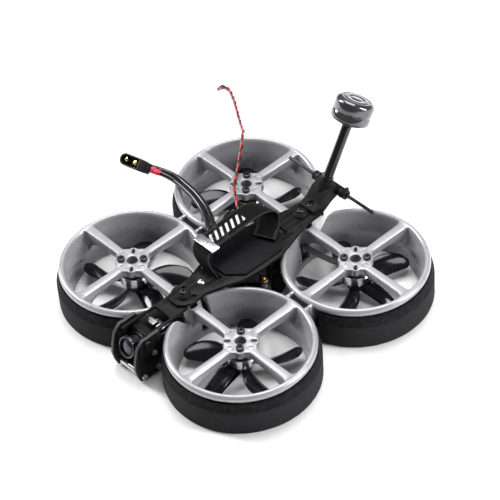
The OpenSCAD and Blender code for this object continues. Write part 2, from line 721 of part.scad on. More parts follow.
at_corner(0) duct();  // duct_front_left
at_corner(1) duct();  // duct_front_right
at_corner(2) duct();  // duct_rear_left
at_corner(3) duct();  // duct_rear_right
at_corner(0) foam_guard();  // foam_front_left
at_corner(1) foam_guard();  // foam_front_right
at_corner(2) foam_guard();  // foam_rear_left
at_corner(3) foam_guard();  // foam_rear_right
bridge_pads();
at_corner(0) motor_base();  // motor_base_front_left
at_corner(1) motor_base();  // motor_base_front_right
at_corner(2) motor_base();  // motor_base_rear_left
at_corner(3) motor_base();  // motor_base_rear_right
motor_windings();
motor_bell(0);  // motor_bell_front_left
motor_bell(1);  // motor_bell_front_right
motor_bell(2);  // motor_bell_rear_left
motor_bell(3);  // motor_bell_rear_right
propeller(0);  // propeller_front_left
propeller(1);  // propeller_front_right
propeller(2);  // propeller_rear_left
propeller(3);  // propeller_rear_right
prop_screws(0);  // prop_screws_front_left
prop_screws(1);  // prop_screws_front_right
prop_screws(2);  // prop_screws_rear_left
prop_screws(3);  // prop_screws_rear_right
motor_screws();
motor_leads();
top_plate();
bottom_plate();
battery_pad();
standoffs();
plate_screws();
boss_washers();
nose_bracket();
camera_plate(1);  // camera_plate_left
camera_plate(-1);  // camera_plate_right
camera_spacers();
camera_plate_screws();
camera_body();
camera_lens_barrel();
camera_lens_glass();
camera_pivot_screws();
camera_cable();
speed_controller();
flight_controller();
video_transmitter();
stack_bolts();
stack_grommets();
capacitor();
battery_strap();
strap_buckle();
antenna_mount();
video_antenna_stalk();
video_antenna_cap();
receiver_antenna();
zip_ties();
battery_leads();
battery_plug();
power_pair();
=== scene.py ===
# Ducted FPV racing drone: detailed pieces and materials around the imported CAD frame.
# Lengths in the modelling code are millimetres; piece() turns them into metres.
import json
import math
import random

import bmesh
import bpy
from mathutils import Matrix, Vector
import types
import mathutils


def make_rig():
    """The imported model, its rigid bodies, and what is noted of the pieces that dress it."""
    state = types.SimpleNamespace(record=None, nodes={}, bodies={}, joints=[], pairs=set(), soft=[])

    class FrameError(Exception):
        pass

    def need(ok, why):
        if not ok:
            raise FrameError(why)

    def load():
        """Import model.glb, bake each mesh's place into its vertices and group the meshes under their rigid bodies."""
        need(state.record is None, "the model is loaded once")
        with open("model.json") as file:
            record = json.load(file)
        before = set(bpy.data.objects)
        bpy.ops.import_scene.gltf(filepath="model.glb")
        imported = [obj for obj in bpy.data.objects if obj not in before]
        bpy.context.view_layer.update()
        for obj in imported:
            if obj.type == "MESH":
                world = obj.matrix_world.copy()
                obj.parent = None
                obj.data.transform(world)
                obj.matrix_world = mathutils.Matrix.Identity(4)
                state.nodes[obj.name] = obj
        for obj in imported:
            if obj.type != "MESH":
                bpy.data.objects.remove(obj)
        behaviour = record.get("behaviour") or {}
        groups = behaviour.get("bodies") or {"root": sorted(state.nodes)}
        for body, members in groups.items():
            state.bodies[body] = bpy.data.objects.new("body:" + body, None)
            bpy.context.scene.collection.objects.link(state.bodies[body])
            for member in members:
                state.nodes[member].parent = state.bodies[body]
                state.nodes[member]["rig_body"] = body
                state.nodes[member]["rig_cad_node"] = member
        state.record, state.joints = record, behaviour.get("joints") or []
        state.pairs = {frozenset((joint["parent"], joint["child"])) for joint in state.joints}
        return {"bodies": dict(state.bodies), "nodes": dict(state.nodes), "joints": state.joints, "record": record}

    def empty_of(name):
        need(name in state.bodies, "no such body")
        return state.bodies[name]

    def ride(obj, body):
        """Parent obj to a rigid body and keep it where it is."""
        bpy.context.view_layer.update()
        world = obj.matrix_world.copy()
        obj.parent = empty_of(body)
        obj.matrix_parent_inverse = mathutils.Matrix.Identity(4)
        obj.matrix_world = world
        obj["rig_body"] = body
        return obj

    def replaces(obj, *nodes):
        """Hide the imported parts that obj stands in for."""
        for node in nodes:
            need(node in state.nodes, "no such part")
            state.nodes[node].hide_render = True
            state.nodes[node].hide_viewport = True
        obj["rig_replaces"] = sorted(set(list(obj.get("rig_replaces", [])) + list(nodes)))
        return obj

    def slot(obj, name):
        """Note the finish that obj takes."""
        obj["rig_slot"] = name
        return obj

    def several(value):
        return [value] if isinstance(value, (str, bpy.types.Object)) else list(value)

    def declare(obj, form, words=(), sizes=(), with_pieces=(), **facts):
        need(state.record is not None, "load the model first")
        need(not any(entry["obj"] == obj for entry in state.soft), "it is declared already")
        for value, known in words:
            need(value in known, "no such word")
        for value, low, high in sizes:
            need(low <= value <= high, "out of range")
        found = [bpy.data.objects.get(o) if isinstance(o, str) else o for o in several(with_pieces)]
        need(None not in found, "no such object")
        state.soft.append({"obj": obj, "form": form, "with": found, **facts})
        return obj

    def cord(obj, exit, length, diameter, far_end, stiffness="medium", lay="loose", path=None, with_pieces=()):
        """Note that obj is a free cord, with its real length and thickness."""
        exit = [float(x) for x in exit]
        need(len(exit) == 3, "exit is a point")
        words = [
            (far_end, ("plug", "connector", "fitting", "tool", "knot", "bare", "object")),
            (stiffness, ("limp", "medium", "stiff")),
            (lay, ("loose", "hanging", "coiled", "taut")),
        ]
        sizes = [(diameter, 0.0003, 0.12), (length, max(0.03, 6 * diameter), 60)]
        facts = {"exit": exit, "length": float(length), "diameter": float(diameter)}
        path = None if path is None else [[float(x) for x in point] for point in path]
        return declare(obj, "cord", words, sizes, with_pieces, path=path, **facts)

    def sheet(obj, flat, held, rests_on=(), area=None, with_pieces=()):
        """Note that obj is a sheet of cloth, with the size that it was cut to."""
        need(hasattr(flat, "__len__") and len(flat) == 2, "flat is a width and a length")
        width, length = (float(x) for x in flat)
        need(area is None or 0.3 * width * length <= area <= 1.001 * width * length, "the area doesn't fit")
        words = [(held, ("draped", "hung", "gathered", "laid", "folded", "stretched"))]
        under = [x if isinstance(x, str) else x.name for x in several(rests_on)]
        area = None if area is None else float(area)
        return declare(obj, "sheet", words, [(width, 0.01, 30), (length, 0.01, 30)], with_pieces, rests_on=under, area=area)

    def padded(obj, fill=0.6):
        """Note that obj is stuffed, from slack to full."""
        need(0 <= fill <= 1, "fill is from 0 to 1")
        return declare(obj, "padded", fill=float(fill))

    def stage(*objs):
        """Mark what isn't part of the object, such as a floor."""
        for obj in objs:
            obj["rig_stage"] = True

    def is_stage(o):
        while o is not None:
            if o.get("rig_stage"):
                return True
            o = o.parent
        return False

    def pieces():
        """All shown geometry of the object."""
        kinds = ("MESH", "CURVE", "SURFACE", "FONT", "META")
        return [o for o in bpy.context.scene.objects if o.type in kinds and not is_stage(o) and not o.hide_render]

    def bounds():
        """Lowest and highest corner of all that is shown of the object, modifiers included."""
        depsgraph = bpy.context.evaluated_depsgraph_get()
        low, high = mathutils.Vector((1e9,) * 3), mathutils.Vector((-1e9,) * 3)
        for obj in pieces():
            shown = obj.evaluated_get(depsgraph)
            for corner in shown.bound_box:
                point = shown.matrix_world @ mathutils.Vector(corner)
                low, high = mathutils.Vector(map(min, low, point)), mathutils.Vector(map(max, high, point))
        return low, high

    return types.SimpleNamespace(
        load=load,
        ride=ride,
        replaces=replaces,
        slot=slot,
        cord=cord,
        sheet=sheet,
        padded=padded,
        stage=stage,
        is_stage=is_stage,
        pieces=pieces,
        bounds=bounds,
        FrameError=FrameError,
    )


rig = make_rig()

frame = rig.load()
cad_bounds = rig.bounds()
MM = 0.001
NODES = frame["nodes"]
SIDES = ("front_left", "front_right", "rear_left", "rear_right")
AIR = "airframe"
random.seed(7)

MOTOR_X, MOTOR_Y = 49.4, 48.2
STACK_R = 18.03  # stack bolts, from the middle of the airframe
HUB_TOP = 28.6
CORNERS = dict(zip(SIDES, ((1, -1), (-1, -1), (1, 1), (-1, 1))))


def at_corner(side):
    """Frame of a motor axis: +x points outward, -y to the neighbouring duct."""
    sx, sy = CORNERS[side]
    return Matrix.Translation((sx * MOTOR_X, sy * MOTOR_Y, 0)) @ Matrix.Diagonal((sx, sy, 1, 1))


# ---- camera ----

YAW, ELEVATION, ROLL = math.radians(50.33), math.radians(44.07), math.radians(-4.65)
back = Vector((math.sin(YAW) * math.cos(ELEVATION), -math.cos(YAW) * math.cos(ELEVATION),
               math.sin(ELEVATION)))
level = Vector((math.cos(YAW), math.sin(YAW), 0))
upright = back.cross(level)
right = math.cos(ROLL) * level + math.sin(ROLL) * upright
up = math.cos(ROLL) * upright - math.sin(ROLL) * level
camera_data = bpy.data.cameras.new("photo_camera")
camera_data.sensor_width = 36
camera_data.lens = 157.4
camera_data.clip_start, camera_data.clip_end = 0.05, 20
camera = bpy.data.objects.new("photo_camera", camera_data)
camera.matrix_world = Matrix((
    (right.x, up.x, back.x, 0.745587), (right.y, up.y, back.y, -0.612528),
    (right.z, up.z, back.z, 0.969983), (0, 0, 0, 1)))
bpy.context.collection.objects.link(camera)
bpy.context.scene.camera = camera


# ---- materials ----

class Nodes:
    """Short names for building one material's node tree."""

    def __init__(self, name, color=(0.5, 0.5, 0.5), rough=0.5, metal=0.0, **sockets):
        self.mat = bpy.data.materials.new(name)
        self.mat.use_nodes = True
        self.tree = self.mat.node_tree
        self.shader = self.tree.nodes["Principled BSDF"]
        self.shader.inputs["Base Color"].default_value = (*color, 1)
        self.shader.inputs["Roughness"].default_value = rough
        self.shader.inputs["Metallic"].default_value = metal
        for key, value in sockets.items():
            self.shader.inputs[key.replace("_", " ")].default_value = value
        self.where = self.new("ShaderNodeTexCoord").outputs["Object"]

    def new(self, kind, **props):
        node = self.tree.nodes.new(kind)
        for key, value in props.items():
            setattr(node, key, value)
        return node

    def put(self, socket, value):
        if isinstance(value, bpy.types.NodeSocket):
            self.tree.links.new(value, socket)
        else:
            socket.default_value = value

    def scaled(self, scale, turn=(0, 0, 0), source=None):
        """The coordinates in millimetres times scale."""
        node = self.new("ShaderNodeMapping")
        node.inputs["Rotation"].default_value = turn
        node.inputs["Scale"].default_value = [1000 * s for s in scale]
        self.put(node.inputs["Vector"], source or self.where)
        return node.outputs[0]

    def noise(self, scale, detail=3, source=None, distortion=0.0):
        """Noise whose features are about 1/scale millimetres across."""
        node = self.new("ShaderNodeTexNoise")
        scale = (scale,) * 3 if isinstance(scale, (int, float)) else scale
        self.put(node.inputs["Vector"], self.scaled(scale, source=source))
        node.inputs["Scale"].default_value = 1
        node.inputs["Detail"].default_value = detail
        node.inputs["Distortion"].default_value = distortion
        return node.outputs["Fac"]

    def cells(self, scale, feature="F1"):
        node = self.new("ShaderNodeTexVoronoi", feature=feature)
        self.put(node.inputs["Vector"], self.scaled((scale,) * 3))
        node.inputs["Scale"].default_value = 1
        return node.outputs["Distance"]

    def math(self, operation, a, b=0.0, clamp=False):
        node = self.new("ShaderNodeMath", operation=operation, use_clamp=clamp)
        self.put(node.inputs[0], a)
        self.put(node.inputs[1], b)
        return node.outputs[0]

    def spread(self, value, low, high, to_low=0.0, to_high=1.0):
        node = self.new("ShaderNodeMapRange")
        for k, v in enumerate((value, low, high, to_low, to_high)):
            self.put(node.inputs[k], v)
        return node.outputs[0]

    def mix(self, factor, a, b):
        node = self.new("ShaderNodeMix", data_type="RGBA")
        self.put(node.inputs["Factor"], factor)
        self.put(node.inputs[6], (*a, 1) if isinstance(a, tuple) else a)
        self.put(node.inputs[7], (*b, 1) if isinstance(b, tuple) else b)
        return node.outputs[2]

    def axes(self, source=None):
        node = self.new("ShaderNodeSeparateXYZ")
        self.put(node.inputs[0], source or self.where)
        return node.outputs

    def color(self, value):
        self.put(self.shader.inputs["Base Color"], value)

    def rough(self, value):
        self.put(self.shader.inputs["Roughness"], value)

    def bump(self, height, distance_mm, strength=1.0):
        node = self.new("ShaderNodeBump")
        node.inputs["Distance"].default_value = distance_mm * MM
        node.inputs["Strength"].default_value = strength
        self.put(node.inputs["Height"], height)
        last = self.shader.inputs["Normal"].links
        if last:
            self.put(node.inputs["Normal"], last[0].from_socket)
        self.put(self.shader.inputs["Normal"], node.outputs[0])


def speckled(name, color, rough, metal=0.0, grain=4.0, depth=0.02, change=0.12, **sockets):
    """A moulded, painted or cast surface: fine grain, faint blotches of tone and gloss."""
    n = Nodes(name, color, rough, metal, **sockets)
    blotch = n.noise(0.12, 4)
    dark = tuple(c * (1 - change) for c in color)
    light = tuple(min(1, c * (1 + change)) for c in color)
    n.color(n.mix(n.spread(blotch, 0.3, 0.7), dark, light))
    n.rough(n.spread(n.noise(grain * 0.3, 5), 0.3, 0.7, rough * 0.85, min(1, rough * 1.18)))
    n.bump(n.noise(grain, 2), depth)
    return n.mat


def brushed(name, color, rough, stretch, depth=0.012, metal=1.0, **sockets):
    """Metal with marks of the tool; stretch is the noise scale on each axis."""
    n = Nodes(name, color, rough, metal, **sockets)
    marks = n.noise(stretch, 4)
    dark = tuple(c * 0.8 for c in color)
    n.color(n.mix(n.spread(marks, 0.3, 0.7), dark, color))
    n.rough(n.spread(marks, 0.25, 0.75, rough * 0.7, rough * 1.35))
    n.bump(marks, depth)
    return n.mat


def make_carbon(name, axis=2, tint=0.006, rough=0.34, edge=0.008):
    """Twill weave of carbon tows, seen on the faces square to one axis."""
    n = Nodes(name, (tint,) * 3, rough, 0.0, Specular_IOR_Level=0.12)
    tow = 1.6
    a, b = [n.axes()[k] for k in range(3) if k != axis]
    u = n.math("MULTIPLY", n.math("ADD", a, b), 1000 / (tow * math.sqrt(2)))
    v = n.math("MULTIPLY", n.math("SUBTRACT", a, b), 1000 / (tow * math.sqrt(2)))
    step = n.math("FLOORED_MODULO", n.math("ADD", n.math("FLOOR", u), n.math("FLOOR", v)), 4)
    over = n.math("LESS_THAN", step, 1.5)
    round_u = n.math("ABSOLUTE", n.math("SINE", n.math("MULTIPLY", u, math.pi)))
    round_v = n.math("ABSOLUTE", n.math("SINE", n.math("MULTIPLY", v, math.pi)))
    crown = n.new("ShaderNodeMix", data_type="FLOAT")
    for socket, value in zip(("Factor", 2, 3), (over, round_u, round_v)):
        n.put(crown.inputs[socket], value)
    fibres = n.noise((9, 9, 9), 2)
    tone = n.mix(over, (tint * 0.5,) * 3, (tint * 1.5,) * 3)
    face = n.mix(n.spread(fibres, 0.35, 0.65, 0, 0.4), tone, (tint * 1.9,) * 3)
    lie = n.axes(n.new("ShaderNodeTexCoord").outputs["Normal"])[axis]
    n.color(n.mix(n.math("LESS_THAN", n.math("ABSOLUTE", lie), 0.6), face,
                  (edge, edge, edge * 1.05)))
    n.rough(n.math("ADD", n.math("MULTIPLY", over, 0.12), n.spread(fibres, 0.3, 0.7, rough - 0.08,
                                                                rough + 0.08)))
    n.bump(crown.outputs[0], 0.05, 0.7)
    n.bump(fibres, 0.01)
    return n.mat


def make_duct():
    n = Nodes("duct_plastic", (0.46, 0.46, 0.49), 0.28, 0.25, Coat_Weight=0.5, Coat_Roughness=0.12,
              IOR=1.5)
    base = n.mix(n.spread(n.noise(0.05, 4), 0.3, 0.7), (0.33, 0.33, 0.35), (0.38, 0.38, 0.4))
    # painted shade: the duct plastic is darkened from z 22 mm down to z 8 mm, standing in for the shade deep inside
    # the duct
    height = n.math("MULTIPLY", n.axes()[2], 1000)
    painted_depth_shade = n.spread(height, 22, 8, 0, 0.85)
    n.color(n.mix(painted_depth_shade, base, (0.075, 0.075, 0.085)))
    n.rough(n.spread(n.noise(0.3, 2), 0.3, 0.7, 0.27, 0.32))
    n.bump(n.noise(0.12, 1), 0.02)
    return n.mat


def make_foam():
    """Closed-cell foam: fine pores, long soft dents, and painted shade that darkens the bevelled band at the top."""
    n = Nodes("eva_foam", (0.016, 0.016, 0.018), 0.85, 0.0, Specular_IOR_Level=0.2)
    height = n.math("MULTIPLY", n.axes()[2], 1000)
    # painted shade: above z 17 mm the bevelled top band is darkened, standing in for the shade under the duct lip
    painted_shade_band = n.spread(height, 16.7, 17.1)
    pores = n.cells(2.6)
    tone = n.mix(painted_shade_band, (0.017, 0.017, 0.019), (0.006, 0.006, 0.007))
    dust = n.spread(n.noise(0.35, 6), 0.42, 0.75, 0, 0.5)
    n.color(n.mix(dust, tone, (0.028, 0.028, 0.03)))
    n.rough(n.spread(pores, 0.0, 0.6, 0.72, 0.95))
    n.bump(pores, 0.09, 0.6)
    n.bump(n.noise(4.2, 4), 0.10, 0.8)
    n.bump(n.noise(0.2, 2), 0.35, 0.6)
    return n.mat


def make_prop():
    n = Nodes("prop_plastic", (0.006, 0.006, 0.008), 0.12, 0.0, Specular_IOR_Level=0.35,
              Coat_Weight=0.15, Coat_Roughness=0.05)
    n.color(n.mix(n.spread(n.noise(0.1, 3), 0.4, 0.7), (0.005, 0.005, 0.006), (0.014, 0.01, 0.02)))
    n.rough(n.spread(n.noise(0.8, 5), 0.3, 0.75, 0.09, 0.22))
    n.bump(n.noise(0.3, 2), 0.015)
    return n.mat


def make_copper():
    n = Nodes("copper_wire", (0.75, 0.3, 0.12), 0.26, 0.45, Coat_Weight=0.5, Coat_Roughness=0.12)
    n.color(n.mix(n.noise(1.2, 3), (0.6, 0.22, 0.08), (0.95, 0.46, 0.2)))
    n.bump(n.noise(3, 2), 0.02)
    return n.mat


def make_rubber_wire(name, color, rough=0.38):
    n = Nodes(name, color, rough, 0.0, Coat_Weight=0.4, Coat_Roughness=0.12)
    dull = n.noise(0.6, 5)
    n.color(n.mix(n.spread(dull, 0.35, 0.7), color, tuple(c * 1.4 + 0.003 for c in color)))
    n.rough(n.spread(dull, 0.3, 0.7, rough * 0.8, rough * 1.3))
    n.bump(n.noise(2.5, 3), 0.015)
    return n.mat


def make_braid():
    """Dark sheath of crossed threads round the motor wires."""
    n = Nodes("lead_braid", (0.02, 0.02, 0.022), 0.5, 0.0)
    a, b, c = n.axes()
    p = n.math("SINE", n.math("MULTIPLY", n.math("ADD", n.math("ADD", a, b), c), 7000))
    q = n.math("SINE", n.math("MULTIPLY", n.math("SUBTRACT", n.math("SUBTRACT", a, b), c), 7000))
    cross = n.math("MAXIMUM", p, q)
    n.color(n.mix(n.spread(cross, -0.2, 1), (0.008, 0.008, 0.009), (0.06, 0.06, 0.065)))
    n.bump(cross, 0.12)
    return n.mat


def make_web(marks_from, marks_to):
    """Woven webbing with slanted bars in white thread along part of its outer face.

    The strap_mm attribute holds x across, y along, and z 1 on the outer face.
    """
    n = Nodes("strap_web_marked", (0.02, 0.02, 0.022), 0.6, 0.0,
              Specular_IOR_Level=0.1)
    place = n.new("ShaderNodeAttribute", attribute_name="strap_mm").outputs["Vector"]
    x, y, outer = n.axes(place)
    rib = n.math("SINE", n.math("MULTIPLY", x, 2 * math.pi / 0.9))
    row = n.math("SINE", n.math("MULTIPLY", n.math("ADD", y, n.math("MULTIPLY", rib, 0.12)),
                                2 * math.pi / 0.62))
    weave = n.math("ADD", n.math("MULTIPLY", rib, 0.6), n.math("MULTIPLY", row, 0.5))
    # the webbing's edges are lightened: real fuzz along the selvedge, partly a painted sheen
    edge_fuzz_and_sheen = n.spread(n.math("ABSOLUTE", x), 6.3, 6.7)
    cloth = n.mix(n.spread(weave, -0.6, 0.9), (0.001, 0.001, 0.0012), (0.007, 0.007, 0.008))
    cloth = n.mix(n.math("MULTIPLY", edge_fuzz_and_sheen, 0.5), cloth, (0.05, 0.05, 0.055))
    fuzz = n.spread(n.noise(2.2, 5), 0.55, 0.8, 0, 0.35)
    cloth = n.mix(fuzz, cloth, (0.03, 0.03, 0.032))
    slant = n.math("FLOORED_MODULO", n.math("ADD", y, n.math("MULTIPLY", x, 0.55)), 4.4)
    bar = n.math("MULTIPLY", n.math("LESS_THAN", slant, 1.9),
                 n.math("LESS_THAN", n.math("ABSOLUTE", x), 3.4))
    length = n.math("MULTIPLY", n.math("GREATER_THAN", y, marks_from),
                    n.math("LESS_THAN", y, marks_to))
    bar = n.math("MULTIPLY", n.math("MULTIPLY", bar, length), outer)
    thread = n.mix(n.spread(weave, -0.8, 0.8), (0.5, 0.5, 0.5), (0.85, 0.85, 0.85))
    cloth = n.mix(bar, cloth, thread)
    n.color(cloth)
    n.bump(weave, 0.16, 0.9)
    n.bump(n.noise(6, 3), 0.05)
    return n.mat


def make_layers():
    """Printed flexible plastic: a thin line for every layer."""
    n = Nodes("tpu", (0.015, 0.015, 0.016), 0.5, 0.0, Specular_IOR_Level=0.12)
    z = n.math("MULTIPLY", n.axes()[2], 2000 * math.pi / 0.32)
    wobble = n.math("MULTIPLY", n.noise(0.6, 2), 2.5)
    line = n.math("SINE", n.math("ADD", z, wobble))
    n.color(n.mix(n.spread(n.noise(0.4, 4), 0.35, 0.7), (0.004, 0.004, 0.005),
                  (0.012, 0.012, 0.013)))
    n.rough(n.spread(line, -1, 1, 0.6, 0.4))
    n.bump(line, 0.045, 0.9)
    n.bump(n.noise(3, 3), 0.04)
    return n.mat


def make_board(name, color):
    """Solder mask over copper tracks, with plated pads."""
    n = Nodes(name, color, 0.35, 0.0, Coat_Weight=0.4, Coat_Roughness=0.2)
    bricks = n.new("ShaderNodeTexBrick", offset=0.37)
    n.put(bricks.inputs["Vector"], n.scaled((0.5, 0.5, 0.5), (0, 0, math.pi / 4)))
    bricks.inputs["Scale"].default_value = 1
    bricks.inputs["Mortar Size"].default_value = 0.09
    track = bricks.outputs["Fac"]
    pads = n.spread(n.cells(0.8), 0.16, 0.12)
    lit = tuple(min(1, c * 2.4 + 0.01) for c in color)
    n.color(n.mix(pads, n.mix(track, color, lit), (0.75, 0.6, 0.3)))
    n.bump(track, 0.05, 0.5)
    n.bump(pads, 0.05, 0.5)
    return n.mat


def make_lens():
    n = Nodes("lens_glass", (0.006, 0.012, 0.02), 0.03, 0.0, Specular_IOR_Level=0.5,
              Coat_Weight=0.2, Coat_Roughness=0.02)
    # painted reflection: the glass colour turns from near black to blue where the surface is seen at a slant, standing
    # in for the coating's reflection
    facing_reflection = n.new("ShaderNodeLayerWeight")
    facing_reflection.inputs["Blend"].default_value = 0.35
    n.color(n.mix(facing_reflection.outputs["Facing"], (0.002, 0.004, 0.008), (0.02, 0.05, 0.10)))
    n.rough(n.spread(n.noise(0.8, 4), 0.4, 0.8, 0.02, 0.07))
    return n.mat


MAT = {
    "duct": make_duct(), "foam": make_foam(), "prop": make_prop(), "copper": make_copper(),
    # the camera side plates' edge faces are much lighter (edge=0.06): the grey of cut carbon, lightened further as a
    # painted highlight
    "carbon": make_carbon("carbon"), "carbon_side": make_carbon("carbon_side", axis=0, tint=0.006,
                                                                edge=0.06),
    "bell": brushed("bell_metal", (0.78, 0.79, 0.81), 0.2, (0.6, 0.6, 14), 0.006),
    "motor": brushed("motor_metal", (0.6, 0.61, 0.63), 0.32, (0.6, 0.6, 12), 0.006),
    "core": brushed("stator_core", (0.3, 0.3, 0.31), 0.45, (0.4, 0.4, 5), 0.02),
    "black_steel": speckled("black_steel", (0.035, 0.035, 0.04), 0.3, 0.75, 3, 0.012),
    "steel": brushed("silver_steel", (0.66, 0.66, 0.68), 0.26, (4, 4, 1), 0.006),
    "anodised": speckled("anodised", (0.09, 0.09, 0.1), 0.32, 0.9, 4, 0.008),
    "brass": speckled("brass", (0.83, 0.6, 0.25), 0.22, 1.0, 3, 0.01),
    "gold": speckled("gold_contact", (0.9, 0.68, 0.3), 0.14, 1.0, 3, 0.004),
    "black_wire": make_rubber_wire("black_wire", (0.006, 0.006, 0.007), 0.2),
    "red_wire": make_rubber_wire("red_wire", (0.36, 0.012, 0.016), 0.34),
    "red_sleeve": make_rubber_wire("red_sleeve", (0.62, 0.02, 0.06), 0.42),
    "white_wire": make_rubber_wire("white_wire", (0.6, 0.6, 0.6), 0.45),
    "green_wire": make_rubber_wire("green_wire", (0.03, 0.3, 0.1), 0.45),
    "braid": make_braid(),
    "pad": speckled("pad_rubber", (0.004, 0.004, 0.005), 0.45, 0.0, 2.4, 0.05, 0.3,
                    Specular_IOR_Level=0.1),
    "block_foam": speckled("block_foam", (0.006, 0.006, 0.007), 0.92, 0.0, 2.0, 0.14, 0.3,
                           Specular_IOR_Level=0.15),
    "web_marked": make_web(52, 84), "tpu": make_layers(),
    "thread": speckled("thread", (0.06, 0.06, 0.065), 0.7, 0.0, 6, 0.05),
    "buckle": brushed("buckle_metal", (0.6, 0.61, 0.64), 0.26, (0.35, 7, 7), 0.006),
    "antenna": speckled("antenna_gloss", (0.006, 0.006, 0.007), 0.12, 0.0, 1.2, 0.004,
                        Coat_Weight=0.3, Coat_Roughness=0.05),
    "cap": speckled("antenna_cap", (0.11, 0.11, 0.118), 0.13, 0.7, 1.5, 0.01, 0.35,
                    Coat_Weight=0.6, Coat_Roughness=0.05),
    "nylon": speckled("plug_nylon", (0.01, 0.01, 0.011), 0.36, 0.0, 3, 0.02),
    "case": speckled("camera_black", (0.01, 0.01, 0.011), 0.36, 0.0, 4, 0.02,
                     Specular_IOR_Level=0.3),
    "lens_metal": brushed("lens_metal", (0.13, 0.135, 0.145), 0.26, (5, 5, 5), 0.004),
    "glass": make_lens(),
    "plate_grey": brushed("plate_grey", (0.16, 0.165, 0.175), 0.34, (3, 1, 1), 0.008, 0.7),
    "heatsink": brushed("heatsink", (0.16, 0.165, 0.175), 0.4, (2, 2, 2), 0.01),
    "board_green": make_board("board_green", (0.008, 0.03, 0.015)),
    "board_black": make_board("board_black", (0.008, 0.008, 0.012)),
    "chip": speckled("chip", (0.014, 0.014, 0.015), 0.4, 0.0, 4, 0.01),
    "white_nylon": speckled("white_nylon", (0.62, 0.62, 0.6), 0.45, 0.0, 3, 0.01),
    "tin": brushed("tinned", (0.72, 0.72, 0.74), 0.28, (4, 4, 4), 0.01),
    "grommet": speckled("grommet", (0.3, 0.3, 0.32), 0.55, 0.0, 3, 0.02),
    "blue_sleeve": speckled("sleeve_blue", (0.02, 0.025, 0.12), 0.25, 0.0, 2, 0.01,
                            Coat_Weight=0.4, Coat_Roughness=0.15),
}


# ---- mesh code ----

def smooth_path(points, per=6):
    """Catmull-Rom points through the given ones."""
    p = [Vector(q) for q in points]
    out = []
    for i in range(len(p) - 1):
        a, b, c, d = p[max(i - 1, 0)], p[i], p[i + 1], p[min(i + 2, len(p) - 1)]
        for k in range(per):
            t = k / per
            out.append(0.5 * (2 * b + (c - a) * t + (2 * a - 5 * b + 4 * c - d) * t * t
                              + (3 * b - a - 3 * c + d) * t ** 3))
    return out + [p[-1]]


def headings(path):
    last = len(path) - 1
    return [(path[min(i + 1, last)] - path[max(i - 1, 0)]).normalized() for i in range(len(path))]


def carried_frames(path):
    """A pair of directions across the path at each point, turning as little as possible."""
    ways = headings(path)
    side = ways[0].orthogonal().normalized()
    frames = []
    for way in ways:
        side = (side - way * side.dot(way)).normalized()
        frames.append((side, way.cross(side)))
    return frames


def circle(n, r=1.0, phase=0.0):
    return [(r * math.cos(2 * math.pi * k / n + phase), r * math.sin(2 * math.pi * k / n + phase))
            for k in range(n)]


